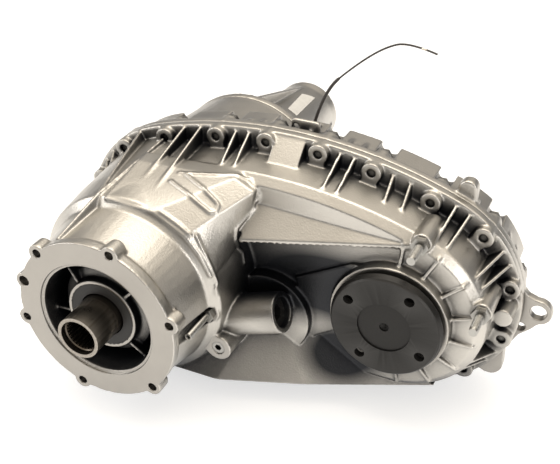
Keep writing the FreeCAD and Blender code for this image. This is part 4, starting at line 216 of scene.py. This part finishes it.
def metal_material(name, colour, roughness, recess, edge, grain=900.0, patches=22.0,
                   spread=0.12, bump=0.02, metallic=1.0, reach=0.03, recess_share=0.6,
                   recess_start=0.0, edge_share=0.35):
    """A metal, rubber or paint with painted shade in its recesses and brighter worn edges.

    recess and edge are the colours of the painted shade and of the worn edges. grain and patches
    are noise scales, spread is how far the patches change the roughness, reach is how far the
    ambient occlusion that places the painted shade looks for a facing wall, and the shares say how
    strong each effect is.
    """
    material, shader = flat_material(name, colour, roughness, metallic)
    tree = material.node_tree
    surface = tree.nodes.new("ShaderNodeGroup")
    surface.node_tree = HANDLED
    for label, value in (
        ("Grain Scale", grain), ("Patch Scale", patches), ("Base Roughness", roughness),
        ("Roughness Spread", spread), ("Colour", (*colour, 1)),
        ("Painted Shade Colour", (*recess, 1)), ("Edge Colour", (*edge, 1)),
    ):
        surface.inputs[label].default_value = value
    # The recess mask comes from ambient occlusion and places painted shade in hollows and corners.
    shadow = tree.nodes.new("ShaderNodeAmbientOcclusion")
    shadow.samples = SHADOW_SAMPLES
    shadow.inputs["Distance"].default_value = reach
    covered = math_node(tree, "SUBTRACT", 1.0, shadow.outputs["AO"], clamp=True)
    covered = math_node(tree, "MULTIPLY_ADD", covered, recess_share, -recess_start, clamp=True)
    tree.links.new(covered, surface.inputs["Recess"])
    point = tree.nodes.new("ShaderNodeNewGeometry").outputs["Pointiness"]
    worn = math_node(tree, "SUBTRACT", point, EDGE_START)
    worn = math_node(tree, "MULTIPLY", worn, EDGE_GAIN, clamp=True)
    worn = math_node(tree, "MULTIPLY", worn, edge_share)
    tree.links.new(worn, surface.inputs["Edge"])
    relief = tree.nodes.new("ShaderNodeBump")
    relief.inputs["Strength"].default_value = bump
    relief.inputs["Distance"].default_value = GRAIN_DEPTH
    tree.links.new(surface.outputs["Height"], relief.inputs["Height"])
    tree.links.new(surface.outputs["Colour"], shader.inputs["Base Color"])
    tree.links.new(surface.outputs["Roughness"], shader.inputs["Roughness"])
    tree.links.new(relief.outputs["Normal"], shader.inputs["Normal"])
    return material


jacket = metal_material(
    "lead_jacket", colour=(0.035, 0.030, 0.028), roughness=0.45,
    recess=(0.01, 0.01, 0.01), edge=(0.08, 0.07, 0.06),
    metallic=0.0, reach=0.004,
)
strand = metal_material(
    "bare_strand", colour=(0.80, 0.72, 0.62), roughness=0.35,
    recess=(0.3, 0.2, 0.1), edge=(0.9, 0.85, 0.8), reach=0.003,
)


def link_piece(name, data, body, slot, *materials):
    """An object for mesh or curve data that rides on a body; slot is not used."""
    for material in materials:
        data.materials.append(material)
    piece = bpy.data.objects.new(name, data)
    bpy.context.collection.objects.link(piece)
    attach(piece, body)
    return piece


def nurbs_curve(name, points, radius):
    """A round NURBS tube; its points carry the thickness, which keeps the curve's box true."""
    curve = bpy.data.curves.new(name, "CURVE")
    curve.dimensions = "3D"
    curve.resolution_u = 16
    curve.bevel_depth = 1.0
    curve.bevel_resolution = 3
    curve.use_fill_caps = True
    spline = curve.splines.new("NURBS")
    spline.points.add(len(points) - 1)
    for place, point in zip(spline.points, points):
        place.co = (*point, 1)
        place.radius = radius
    spline.order_u = 3
    spline.use_endpoint_u = True
    return curve


def final_mesh(item):
    """A new mesh of an object as it stands, with its modifiers applied."""
    seen = item.evaluated_get(bpy.context.evaluated_depsgraph_get())
    return bpy.data.meshes.new_from_object(seen)


def curve_line(curve):
    """The points that the curve's own spline runs through, without its thickness."""
    depth = curve.bevel_depth
    curve.bevel_depth = 0
    probe = bpy.data.objects.new("probe", curve)
    bpy.context.collection.objects.link(probe)
    bpy.context.view_layer.update()
    mesh = final_mesh(probe)
    line = [vertex.co.copy() for vertex in mesh.vertices]
    bpy.data.meshes.remove(mesh)
    bpy.data.objects.remove(probe)
    curve.bevel_depth = depth
    return line


def new_mesh(name, builder):
    """The mesh that a bmesh builder holds; the builder is used up."""
    mesh = bpy.data.meshes.new(name)
    builder.to_mesh(mesh)
    builder.free()
    return mesh


def tube_mesh(name, line, radius_at, sides=12):
    """A round tube along a line of points; radius_at gives the radius at each share of it."""
    builder = bmesh.new()
    rings = []
    normal = None
    for number, point in enumerate(line):
        ahead = line[min(number + 1, len(line) - 1)] - line[max(number - 1, 0)]
        ahead.normalize()
        if normal is None:
            normal = ahead.orthogonal().normalized()
        normal = (normal - ahead * normal.dot(ahead)).normalized()
        side = ahead.cross(normal)
        radius = radius_at(number / (len(line) - 1))
        rings.append([
            builder.verts.new(
                point + (normal * math.cos(turn) + side * math.sin(turn)) * radius
            )
            for turn in (2 * math.pi * step / sides for step in range(sides))
        ])
    for lower, upper in zip(rings, rings[1:]):
        for step in range(sides):
            following = (step + 1) % sides
            builder.faces.new((lower[step], lower[following], upper[following], upper[step]))
    builder.faces.new(list(reversed(rings[0])))
    builder.faces.new(rings[-1])
    for face in builder.faces:
        face.smooth = len(face.verts) == 4
    return new_mesh(name, builder)


def sheath_radius(share):
    """The sheath's radius, which steps in at its upper lip."""
    return SHEATH_RADIUS if share < SHEATH_LIP_START else SHEATH_LIP_RADIUS


def tip_radius(share):
    """The bare strand's radius, which thins out toward its end."""
    return TIP_RADIUS - TIP_TAPER * share


lead_points = [
    (LEAD_FOOT[0] + x / 1000, LEAD_FOOT[1], LEAD_FOOT[2] + z / 1000) for x, z in LEAD_WAY
]
lead_curve = nurbs_curve("coil_lead_wire", lead_points, LEAD_DIAMETER / 2)
lead = link_piece("coil_lead_wire", lead_curve, "case", "lead_jacket", jacket)
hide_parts("coil_lead")
lead_line = curve_line(lead_curve)
sheath_line = lead_line[:max(3, int(len(lead_line) * SHEATH_SHARE))]
sheath_mesh = tube_mesh("lead_sheath", sheath_line, sheath_radius)
sheath = link_piece("lead_sheath", sheath_mesh, "case", "lead_jacket", jacket)
tip_mesh = tube_mesh("lead_bare_tip", lead_line[-TIP_POINTS:], tip_radius)
tip = link_piece("lead_bare_tip", tip_mesh, "case", "lead_jacket", strand)

# Castings: front case, rear case and tail housing
# Each is die-cast aluminium with soft corners. The joint faces, the adapter face and the bores are
# cut flat and true afterwards, so those stay crisp here while the skin between them is softened.

CAST_COLOUR = (0.60, 0.575, 0.53)
CUT_COLOUR = (0.39, 0.37, 0.34)
CAST_RECESS_SHADE = (0.030, 0.032, 0.038)
# Painted shade: a dark colour mixed into the cast skin in two soft zones, under the web and in the
# sump pocket, where the casting lies in deep shade and reflects dark surroundings.
PAINTED_SHADE_COLOUR = (0.020, 0.022, 0.027)
PAINTED_SHADE_STRENGTH = 0.95
PAINTED_SHADE_START = 2.2
PAINTED_SHADE_SLOPE = -2.0
# Each zone of painted shade is a centre and three half sizes.
WEB_SHADE_ZONE = ((0.182, 0.124, 0.014), (0.110, 0.070, 0.046))
SUMP_SHADE_ZONE = ((0.196, 0.128, -0.062), (0.046, 0.046, 0.034))

# The long reach and strong share of the recess mask paint deep shade into the valleys of the
# casting, between the web, the bosses and the walls.
cast_skin = metal_material(
    "cast_aluminium", colour=CAST_COLOUR, roughness=0.34,
    recess=CAST_RECESS_SHADE, edge=(0.80, 0.77, 0.71),
    grain=620, patches=26, spread=0.20, bump=0.22, reach=0.105, recess_share=1.9,
    recess_start=0.22, edge_share=0.5,
)
cut_metal = metal_material(
    "cut_aluminium", colour=CUT_COLOUR, roughness=0.30,
    recess=(0.08, 0.08, 0.08), edge=(0.75, 0.73, 0.69),
    grain=1500, patches=30, spread=0.08, bump=0.05, reach=0.01,
)


def vector_node(tree, operation, vector, value=None):
    """One step on a linked vector, with a plain vector as the second value where there is one."""
    node = tree.nodes.new("ShaderNodeVectorMath")
    node.operation = operation
    tree.links.new(vector, node.inputs[0])
    if value is not None:
        node.inputs[1].default_value = value
    return node


def paint_shade_zones(material, pockets, shade):
    """Painted shade: a dark colour mixed into the base colour inside soft-edged round zones, each a
    centre and three half sizes.
    """
    tree = material.node_tree
    base = tree.nodes["Principled BSDF"].inputs["Base Color"]
    place = tree.nodes.new("ShaderNodeTexCoord").outputs["Object"]
    colour = base.links[0].from_socket
    for centre, half_sizes in pockets:
        offset = vector_node(tree, "SUBTRACT", place, centre)
        scaled = vector_node(tree, "DIVIDE", offset.outputs[0], half_sizes)
        away = vector_node(tree, "LENGTH", scaled.outputs[0]).outputs["Value"]
        amount = math_node(tree, "MULTIPLY_ADD", away, PAINTED_SHADE_SLOPE, PAINTED_SHADE_START, clamp=True)
        amount = math_node(tree, "MULTIPLY", amount, PAINTED_SHADE_STRENGTH)
        colour = mix_colour(tree, amount, colour, shade)
    tree.links.new(colour, base)


paint_shade_zones(cast_skin, (WEB_SHADE_ZONE, SUMP_SHADE_ZONE), PAINTED_SHADE_COLOUR)


def baked_copy(node):
    """A CAD node's own mesh in the frame's coordinates, as plain data."""
    mesh = final_mesh(nodes[node])
    mesh.transform(nodes[node].matrix_world)
    return mesh


def joined_mesh(name, meshes):
    """Several meshes laid together as one."""
    builder = bmesh.new()
    for mesh in meshes:
        builder.from_mesh(mesh)
    for face in builder.faces:
        face.material_index = 0
    return new_mesh(name, builder)


def even_skin(name, meshes, grain):
    """The closed skin round some solids that run into one another, in even small faces."""
    carrier = bpy.data.objects.new(name, joined_mesh(name, meshes))
    bpy.context.collection.objects.link(carrier)
    remesh = carrier.modifiers.new("skin", "REMESH")
    remesh.mode = "VOXEL"
    remesh.voxel_size = grain
    bpy.context.view_layer.update()
    skin = final_mesh(carrier)
    skin.name = name
    bpy.data.objects.remove(carrier)
    return skin


# A vertex counts as machined when it lies within this share of a grain of the cut face and faces
# its way. Each softening pass smooths the skin and then steps back, which keeps its volume.
FLAT_REACH = 0.8
FLAT_FACING = 0.75
BORE_REACH = 0.9
BORE_FACING = 0.7
SOFTEN_PUSHES = (0.62, -0.30)


def vertex_values(mesh, name):
    """A three-number property of every vertex as rows."""
    values = np.empty(len(mesh.vertices) * 3)
    mesh.vertices.foreach_get(name, values)
    return values.reshape(-1, 3)


def soften(mesh, grain, flats, bores, passes):
    """Rounds the corners of a skin and keeps machined flats and bores true.

    flats are (y, x, z, inner radius, outer radius) and bores are (x, z, radius, first y, last y).
    Returns the vertices that lie on a machined face.
    """
    count = len(mesh.vertices)
    points = vertex_values(mesh, "co")
    normals = vertex_values(mesh, "normal")
    pairs = np.empty(len(mesh.edges) * 2, dtype=np.int64)
    mesh.edges.foreach_get("vertices", pairs)
    first, second = pairs.reshape(-1, 2).T
    degree = np.bincount(first, minlength=count) + np.bincount(second, minlength=count)
    machined = np.zeros(count, dtype=bool)
    held = []
    for y, x, z, inner, outer in flats:
        away = np.hypot(points[:, 0] - x, points[:, 2] - z)
        chosen = abs(points[:, 1] - y) < grain * FLAT_REACH
        chosen &= abs(normals[:, 1]) > FLAT_FACING
        chosen &= (away > inner) & (away < outer)
        held.append((np.nonzero(chosen)[0], y))
        machined |= chosen
    turned = []
    for x, z, radius, low, high in bores:
        across = points[:, 0] - x
        rise = points[:, 2] - z
        away = np.hypot(across, rise)
        inward = -(across * normals[:, 0] + rise * normals[:, 2]) / np.maximum(away, 1e-6)
        chosen = (abs(away - radius) < grain * BORE_REACH) & (inward > BORE_FACING)
        chosen &= (points[:, 1] > low) & (points[:, 1] < high)
        turned.append((np.nonzero(chosen)[0], x, z, radius))
        machined |= chosen
    for push in SOFTEN_PUSHES * passes:
        total = np.empty_like(points)
        for axis in range(3):
            total[:, axis] = (
                np.bincount(first, points[second, axis], count)
                + np.bincount(second, points[first, axis], count)
            )
        points = points + push * (total / degree[:, None] - points)
        for chosen, y in held:
            points[chosen, 1] = y
        for chosen, x, z, radius in turned:
            across = points[chosen, 0] - x
            rise = points[chosen, 2] - z
            away = np.maximum(np.hypot(across, rise), 1e-6)
            points[chosen, 0] = x + across / away * radius
            points[chosen, 2] = z + rise / away * radius
    mesh.vertices.foreach_set("co", points.ravel())
    mesh.update()
    return machined


def paint_cut_faces(mesh, machined):
    """Gives the second material to the faces whose corners all lie on machined faces."""
    corner = np.empty(len(mesh.loops), dtype=np.int64)
    mesh.loops.foreach_get("vertex_index", corner)
    starts = np.empty(len(mesh.polygons), dtype=np.int64)
    mesh.polygons.foreach_get("loop_start", starts)
    cut = np.minimum.reduceat(machined[corner].astype(int), starts)
    mesh.polygons.foreach_set("material_index", cut.astype(np.int32))
    mesh.polygons.foreach_set("use_smooth", np.ones(len(mesh.polygons), dtype=bool))


def casting(node, flats, bores, grain, passes, beads=()):
    """The finished casting, with its raised beads, that stands for its CAD node."""
    name = node + "_skin"
    coarser = 1
    skin = even_skin(name, [baked_copy(node), *beads], grain * coarser)
    machined = soften(skin, grain, flats, bores, passes)
    skin.materials.clear()
    paint_cut_faces(skin, machined)
    piece = link_piece(name, skin, "case", "cast_aluminium", cast_skin, cut_metal)
    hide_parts(node)


def surface_tree(node):
    """A search tree over the faces of a CAD node, in the frame's coordinates."""
    mesh = baked_copy(node)
    return bvhtree.BVHTree.FromPolygons(
        [vertex.co for vertex in mesh.vertices],
        [tuple(face.vertices) for face in mesh.polygons],
    )


ROUTE_STEP = 0.003


def laid_line(tree, route):
    """Points laid on a surface along a route given in millimetres."""
    corners = [Vector(corner) / 1000 for corner in route]
    line = []
    for start, end in zip(corners, corners[1:]):
        count = max(1, round((end - start).length / ROUTE_STEP))
        line += [start.lerp(end, number / count) for number in range(count)]
    line.append(corners[-1])
    return [tree.find_nearest(point)[0] for point in line]


def on_circle(radius, degrees):
    """The x and z of a point on a circle round the origin."""
    return radius * math.cos(math.radians(degrees)), radius * math.sin(math.radians(degrees))


# Front case: where it is machined, as rows for soften, and the raised beads on its skin with
# each bead's radius. The bead routes are in millimetres.

OUTPUT_X = 0.2413
ADAPTER_CIRCLE = 0.0805
DOWEL_CIRCLE = 0.0785
ADAPTER_TURNS = range(14, 374, 60)
DOWEL_TURN = 163.4

adapter_bolt_bores = [
    (*on_circle(ADAPTER_CIRCLE, turn), 0.00425, -0.001, 0.017) for turn in ADAPTER_TURNS
]
dowel_bore = (*on_circle(DOWEL_CIRCLE, DOWEL_TURN), 0.0053, -0.001, 0.017)
adapter_step_bore = (0, 0, 0.0595, -0.001, 0.003)
input_seal_bore = (0, 0, 0.0325, 0.010, 0.022)
output_seal_bore = (OUTPUT_X, 0, 0.038, 0.112, 0.123)
gauge_port_bore = (0.092, -0.045, 0.0065, 0.061, 0.08)
front_bores = [
    *adapter_bolt_bores, dowel_bore, adapter_step_bore, input_seal_bore, output_seal_bore,
    gauge_port_bore,
]

adapter_face = (0, 0, 0, 0.0, 0.1)
adapter_step_floor = (0.0025, 0, 0, 0.055, 0.0605)
input_seal_face = (0.011, 0, 0, 0.030, 0.038)
seam_face = (0.185, 0, 0, 0.0, 1.0)
output_face = (0.113, OUTPUT_X, 0, 0.030, 0.058)
gauge_face = (0.062, 0.092, -0.045, 0.0, 0.0135)
vent_face = (0.060, 0.085, -0.004, 0.0, 0.0103)
front_flats = [
    adapter_face, adapter_step_floor, input_seal_face, seam_face, output_face, gauge_face,
    vent_face,
]

HAIRPIN = (
    (26.8, 100.2, 102.2), (42, 93, 101.5), (56.2, 87.3, 98.7), (66, 86, 94), (75.3, 86.2, 87.6),
    (79.6, 89.2, 87.8), (79.9, 94.5, 91.9), (76.4, 95.8, 94.8), (67, 98, 99.5),
    (59.6, 100.4, 103.2), (48, 106, 105), (36.7, 112.3, 105.3),
)
SHOULDER_RIDGE = ((35.1, 64.1, 91.6), (51.9, 64.7, 82.9), (67.4, 64.7, 72.7))
COLLAR_EDGE = (
    (29, 112, 105), (65, 119, 108), (95, 129, 105), (105.7, 126, 93.7), (102, 120, 77.6),
    (93.6, 102.3, 66.7), (92.8, 102.2, 55.6), (94.8, 112.6, 34.1), (97.7, 109.5, 23.8),
)
BAND_EDGE = ((70, 68, 73.7), (76.4, 66.2, 62.8), (84.8, 65.7, 46.9), (88, 66, 30), (89, 66, 16))
BEADS = (
    (HAIRPIN, 0.0019), (SHOULDER_RIDGE, 0.0016), (COLLAR_EDGE, 0.0017), (BAND_EDGE, 0.0015),
)

front_tree = surface_tree("front_case")
front_beads = [
    tube_mesh("bead", laid_line(front_tree, route), lambda share, size=size: size, 10)
    for route, size in BEADS
]
casting("front_case", front_flats, front_bores, grain=0.00095, passes=8, beads=front_beads)

# Rear case and tail housing: their joint faces, the ear on the right with its hole and slot, and
# the open end of the tail with its seal bore.

tail_joint_face = (0.320, 0, 0, 0, 0.1)
ear_face = (0.194, 0.350, -0.015, 0, 0.06)
ear_hole = (0.364, -0.001, 0.0078, 0.18, 0.2)
ear_slot = (0.350, -0.021, 0.0046, 0.18, 0.2)
casting(
    "rear_case", [seam_face, tail_joint_face, ear_face], [ear_hole, ear_slot],
    grain=0.00115, passes=7,
)
tail_flange_back = (0.330, 0, 0, 0.07, 0.1)
tail_end_face = (0.498, 0, 0, 0, 0.1)
tail_seal_bore = (0, 0, 0.036, 0.48, 0.5)
casting(
    "tail_housing", [tail_joint_face, tail_flange_back, tail_end_face], [tail_seal_bore],
    grain=0.00125, passes=7,
)

# Label
# A blank paper label with a worn white coat, glued along the top of the tail housing. It bends
# with the cone under it. Its corners are in millimetres.

LABEL_CORNERS = ((18.9, 388.5, 52.7), (31.2, 386.9, 46.8), (23.5, 463.8, 37.4), (10.3, 452.6, 44.7))
LABEL_ACROSS = 8
LABEL_ALONG = 24
LABEL_LIFT = 0.0002
LABEL_THICKNESS = 0.00015

paper = metal_material(
    "label_paper", colour=(0.72, 0.71, 0.68), roughness=0.55,
    recess=(0.45, 0.44, 0.42), edge=(0.8, 0.8, 0.78),
    grain=1800, patches=120, bump=0.03, metallic=0.0, reach=0.004,
)
tail_tree = surface_tree("tail_housing")
near_left, near_right, far_right, far_left = (Vector(corner) / 1000 for corner in LABEL_CORNERS)
label_points = []
for row in range(LABEL_ALONG + 1):
    left_edge = near_left.lerp(far_left, row / LABEL_ALONG)
    right_edge = near_right.lerp(far_right, row / LABEL_ALONG)
    for column in range(LABEL_ACROSS + 1):
        point = left_edge.lerp(right_edge, column / LABEL_ACROSS)
        spot, normal = tail_tree.find_nearest(point)[:2]
        label_points.append(spot + normal * LABEL_LIFT)
label_faces = [
    (start, start + 1, start + LABEL_ACROSS + 2, start + LABEL_ACROSS + 1)
    for start in (
        row * (LABEL_ACROSS + 1) + column
        for row in range(LABEL_ALONG) for column in range(LABEL_ACROSS)
    )
]
label_mesh = bpy.data.meshes.new("blank_label")
label_mesh.from_pydata(label_points, [], label_faces)
label = link_piece("blank_label", label_mesh, "case", None, paper)
thick = label.modifiers.new("paper", "SOLIDIFY")
thick.thickness = LABEL_THICKNESS
thick.offset = 1

# Front output flange and shaft
# A forged steel flange turned all over and black oxided; the driven sprocket's shaft is one piece
# with it. Its four holes take the bolts of the front drive shaft.

SAME_POINT = 0.000002
EDGE_TURN = math.radians(32)


def dress(node, material, chamfer=0.0):
    """Gives a CAD node its material and, where asked, narrow broken edges."""
    piece = nodes[node]
    for place in piece.material_slots:
        place.link = "OBJECT"
        place.material = material
    if chamfer:
        weld = piece.modifiers.new("weld", "WELD")
        weld.merge_threshold = SAME_POINT
        bevel = piece.modifiers.new("edges", "BEVEL")
        bevel.width = chamfer
        bevel.segments = 2
        bevel.limit_method = "ANGLE"
        bevel.angle_limit = EDGE_TURN
        bevel.use_clamp_overlap = True
        bevel.harden_normals = True


black_oxide = metal_material(
    "black_oxide", colour=(0.026, 0.025, 0.024), roughness=0.40,
    recess=(0.006, 0.006, 0.006), edge=(0.10, 0.098, 0.095),
    grain=900, patches=40, spread=0.20, bump=0.12, metallic=0.7, reach=0.012, edge_share=0.5,
)
dress("front_output_shaft", black_oxide)

# Input sleeve
# The hardened input shaft with the sun gear cut on it. Its splined nose is dark from heat treatment
# and oil, with painted shade between the spline teeth, and only its rim and spline tips are bright
# from handling.

sleeve_steel = metal_material(
    "sleeve_steel", colour=(0.15, 0.128, 0.105), roughness=0.30,
    recess=(0.008, 0.007, 0.006), edge=(0.62, 0.58, 0.52),
    grain=1500, patches=45, spread=0.18, bump=0.04, reach=0.012, recess_share=0.95, edge_share=0.8,
)
dress("input_shaft", sleeve_steel)

# Shaft seals and grommet
# Moulded black rubber rings on pressed steel; the lead's grommet is the same rubber. Their lips
# are slightly rounded.

SEAL_EDGE = 0.0004

seal_rubber = metal_material(
    "seal_rubber", colour=(0.022, 0.021, 0.020), roughness=0.52,
    recess=(0.006, 0.006, 0.006), edge=(0.07, 0.07, 0.07),
    grain=1300, patches=60, spread=0.15, bump=0.04, metallic=0.0, reach=0.006,
)
for node in ("input_seal", "output_seal", "tail_seal", "lead_grommet"):
    dress(node, seal_rubber, SEAL_EDGE)

# Bolts, studs, vent and plugs
# Zinc plated steel. The case bolts enter from the rear, so the front shows only their tips down in
# the bosses, which carry painted shade, and the heads stand in their pockets behind the seam.

BOLT_EDGE = 0.0004
PLUG_EDGE = 0.0005
STUD_CIRCLE = 0.085
STUD_TURNS = (76, 18)
THREAD_SPAN = (0.0972, 0.1175)
THREAD_ROOT = 0.00388
THREAD_CREST = 0.00425
THREAD_PITCH = 0.00125
THREAD_PROFILE = ((0.0, 0.0), (0.40, 1.0), (0.60, 1.0), (1.0, 0.0))

zinc_plate = metal_material(
    "zinc_plate", colour=(0.42, 0.41, 0.385), roughness=0.28,
    recess=(0.03, 0.028, 0.026), edge=(0.75, 0.73, 0.70),
    grain=1600, patches=70, spread=0.16, bump=0.04, reach=0.008, recess_share=1.2,
)
# The case bolts get a darker copy of the zinc with a strong recess share: painted shade that makes
# their tips read dark down in the bosses.
shaded_bolt_zinc = metal_material(
    "shaded_bolt_zinc", colour=(0.30, 0.29, 0.27), roughness=0.36,
    recess=(0.010, 0.010, 0.010), edge=(0.60, 0.58, 0.54),
    grain=1500, patches=70, spread=0.16, bump=0.05, reach=0.014, recess_share=2.6,
)
for node in ("tail_bolts", "shield_studs", "vent_tube", "gauge_plug"):
    dress(node, zinc_plate, BOLT_EDGE)
dress("case_bolts", shaded_bolt_zinc, BOLT_EDGE)
dress("fill_plug", black_oxide, PLUG_EDGE)


def thread_mesh(name, x, z, sides=28):
    """A cut thread round a stud along Y, as one ridge that climbs and fades at both ends."""
    builder = bmesh.new()
    start, end = THREAD_SPAN
    steps = int((end - start) / THREAD_PITCH * sides)
    rows = []
    for step in range(steps + 1):
        turn = 2 * math.pi * step / sides
        along = start + THREAD_PITCH * step / sides
        fade = min(1.0, step / sides, (steps - step) / sides)
        row = []
        for share, height in THREAD_PROFILE:
            radius = THREAD_ROOT + (THREAD_CREST - THREAD_ROOT) * height * fade
            row.append(builder.verts.new((
                x + radius * math.cos(turn), along + THREAD_PITCH * share,
                z + radius * math.sin(turn),
            )))
        rows.append(row)
    for lower, upper in zip(rows, rows[1:]):
        for place in range(len(THREAD_PROFILE) - 1):
            builder.faces.new((lower[place], lower[place + 1], upper[place + 1], upper[place]))
    return new_mesh(name, builder)


for number, turn in enumerate(STUD_TURNS):
    across, rise = on_circle(STUD_CIRCLE, turn)
    thread = thread_mesh("stud_thread", OUTPUT_X + across, rise)
    link_piece("stud_thread_%d" % (number + 1), thread, "case", "plated_steel", zinc_plate)

# Gears, shafts and bearings inside
# Machined and ground steel that shows only through the open tail or on a cut view: the planetary
# range set, the main shaft, the sprockets and chain, the clutch and its ramps.

ground_steel = metal_material(
    "ground_steel", colour=(0.58, 0.58, 0.58), roughness=0.24,
    recess=(0.06, 0.06, 0.06), edge=(0.8, 0.8, 0.8),
    grain=1800, patches=60, spread=0.08, bump=0.02, reach=0.01,
)
gear_steel = metal_material(
    "gear_steel", colour=(0.40, 0.385, 0.37), roughness=0.34,
    recess=(0.03, 0.028, 0.026), edge=(0.68, 0.66, 0.63),
    grain=1500, patches=50, spread=0.14, bump=0.04, reach=0.01,
)
for node in (
    "case_dowels", "input_bearing", "output_front_bearing", "output_rear_bearing",
    "rear_bearing", "input_snap_ring", "planet_pins", "shift_rail", "shift_shaft",
    "main_shaft", "steel_plates", "ramp_balls",
):
    dress(node, ground_steel)
for node in (
    "ring_gear", "planet_1", "planet_2", "planet_3", "planet_4", "planet_carrier",
    "range_sleeve", "range_fork", "drive_sprocket", "driven_sprocket", "clutch_hub",
    "clutch_drum", "pressure_plate", "ramp_front_cam", "ramp_rear_cam", "armature",
    "pump_rotor", "tone_wheel",
):
    dress(node, gear_steel)
for node in ("drive_chain", "sump_magnet"):
    dress(node, black_oxide)

# Oil pump, tail bushing, friction plates and coil
# The pump body is cast aluminium cut flat, the bushing is bronze, the clutch plates carry a
# paper lining and the coil sits in a painted steel shell.

BUSHING_EDGE = 0.0003

pump_metal = metal_material(
    "pump_aluminium", colour=(0.62, 0.61, 0.59), roughness=0.38,
    recess=(0.08, 0.08, 0.08), edge=(0.8, 0.79, 0.77),
    grain=1200, patches=40, bump=0.06, reach=0.01,
)
bushing_bronze = metal_material(
    "bushing_bronze", colour=(0.50, 0.34, 0.17), roughness=0.30,
    recess=(0.08, 0.05, 0.02), edge=(0.75, 0.58, 0.35),
    grain=1600, patches=60, bump=0.03, reach=0.008,
)
lining = metal_material(
    "friction_lining", colour=(0.13, 0.085, 0.05), roughness=0.80,
    recess=(0.03, 0.02, 0.015), edge=(0.2, 0.14, 0.09),
    grain=2200, patches=90, bump=0.15, metallic=0.0, reach=0.006,
)
coil_paint = metal_material(
    "coil_paint", colour=(0.05, 0.05, 0.055), roughness=0.45,
    recess=(0.01, 0.01, 0.01), edge=(0.14, 0.14, 0.14),
    grain=1400, patches=50, bump=0.04, metallic=0.0, reach=0.008,
)
dress("oil_pump", pump_metal)
dress("tail_bushing", bushing_bronze, BUSHING_EDGE)
dress("friction_plates", lining)
dress("clutch_coil", coil_paint)

# Floor and light
# A pale studio floor under a warm sky light, with broad soft lamps above, to the left and to the
# right. The floor shows white to the camera and in reflections, and keeps the shadow.

FLOOR_HALF = 6.0
FLOOR_HEIGHT = -0.1167
FLOOR_COLOUR = (0.62, 0.62, 0.62)
FLOOR_GLOW = 0.62
SKY_COLOURS = (
    (0.50, (0.16, 0.165, 0.18, 1)), (0.68, (0.30, 0.295, 0.29, 1)), (0.92, (1.10, 1.00, 0.86, 1)),
)
LAMPS = (
    ("lamp_top", (0.1, 0.3, 1.6), (0.1, 0.15, 0), (1.6, 1.2), 13, (1.0, 0.95, 0.86)),
    ("lamp_left", (-1.4, -0.5, 0.7), (0.05, 0.1, 0), (0.9, 0.9), 9, (1.0, 0.98, 0.95)),
    ("lamp_right", (1.3, -0.6, 0.5), (0.2, 0.15, 0), (0.5, 0.9), 5, (1.0, 0.97, 0.93)),
)

floor_mesh = bpy.data.meshes.new("floor")
floor_mesh.from_pydata(
    [
        (x * FLOOR_HALF, y * FLOOR_HALF, FLOOR_HEIGHT)
        for x, y in ((-1, -1), (1, -1), (1, 1), (-1, 1))
    ],
    [], [(0, 1, 2, 3)],
)
floor = bpy.data.objects.new("floor", floor_mesh)
bpy.context.collection.objects.link(floor)
floor_material, floor_shader = flat_material("studio_floor", FLOOR_COLOUR, 0.9)
floor_mesh.materials.append(floor_material)
floor_tree = floor_material.node_tree
glow = floor_tree.nodes.new("ShaderNodeEmission")
glow.inputs["Color"].default_value = (1, 1, 1, 1)
glow.inputs["Strength"].default_value = FLOOR_GLOW
unlit = floor_tree.nodes.new("ShaderNodeEmission")
unlit.inputs["Strength"].default_value = 0.0
ray = floor_tree.nodes.new("ShaderNodeLightPath").outputs
shown = math_node(floor_tree, "MAXIMUM", ray["Is Camera Ray"], ray["Is Glossy Ray"])
shown = math_node(floor_tree, "MAXIMUM", shown, ray["Is Transmission Ray"])
chosen_glow = floor_tree.nodes.new("ShaderNodeMixShader")
summed = floor_tree.nodes.new("ShaderNodeAddShader")
floor_surface = floor_tree.nodes["Material Output"].inputs["Surface"]
for start, end in (
    (shown, chosen_glow.inputs[0]), (unlit.outputs[0], chosen_glow.inputs[1]),
    (glow.outputs[0], chosen_glow.inputs[2]), (floor_shader.outputs[0], summed.inputs[0]),
    (chosen_glow.outputs[0], summed.inputs[1]), (summed.outputs[0], floor_surface),
):
    floor_tree.links.new(start, end)

world = bpy.data.worlds.new("studio")
bpy.context.scene.world = world
world.use_nodes = True
sky = world.node_tree
direction = sky.nodes.new("ShaderNodeTexCoord").outputs["Generated"]
parts = sky.nodes.new("ShaderNodeSeparateXYZ")
sky.links.new(direction, parts.inputs[0])
ramp = sky.nodes.new("ShaderNodeValToRGB")
stops = ramp.color_ramp.elements
stops.new(SKY_COLOURS[1][0])
for stop, (position, colour) in zip(stops, SKY_COLOURS):
    stop.position = position
    stop.color = colour
height = math_node(sky, "MULTIPLY_ADD", parts.outputs["Z"], 0.5, 0.5)
sky.links.new(height, ramp.inputs["Fac"])
background = sky.nodes["Background"]
sky.links.new(ramp.outputs["Color"], background.inputs["Color"])
background.inputs["Strength"].default_value = 1.0

for name, place, target, size, power, colour in LAMPS:
    light = bpy.data.lights.new(name, "AREA")
    light.shape = "RECTANGLE"
    light.size, light.size_y = size
    light.energy = power
    light.color = colour
    lamp = bpy.data.objects.new(name, light)
    bpy.context.collection.objects.link(lamp)
    lamp.location = place
    lamp.rotation_euler = (Vector(place) - Vector(target)).to_track_quat("Z", "Y").to_euler()
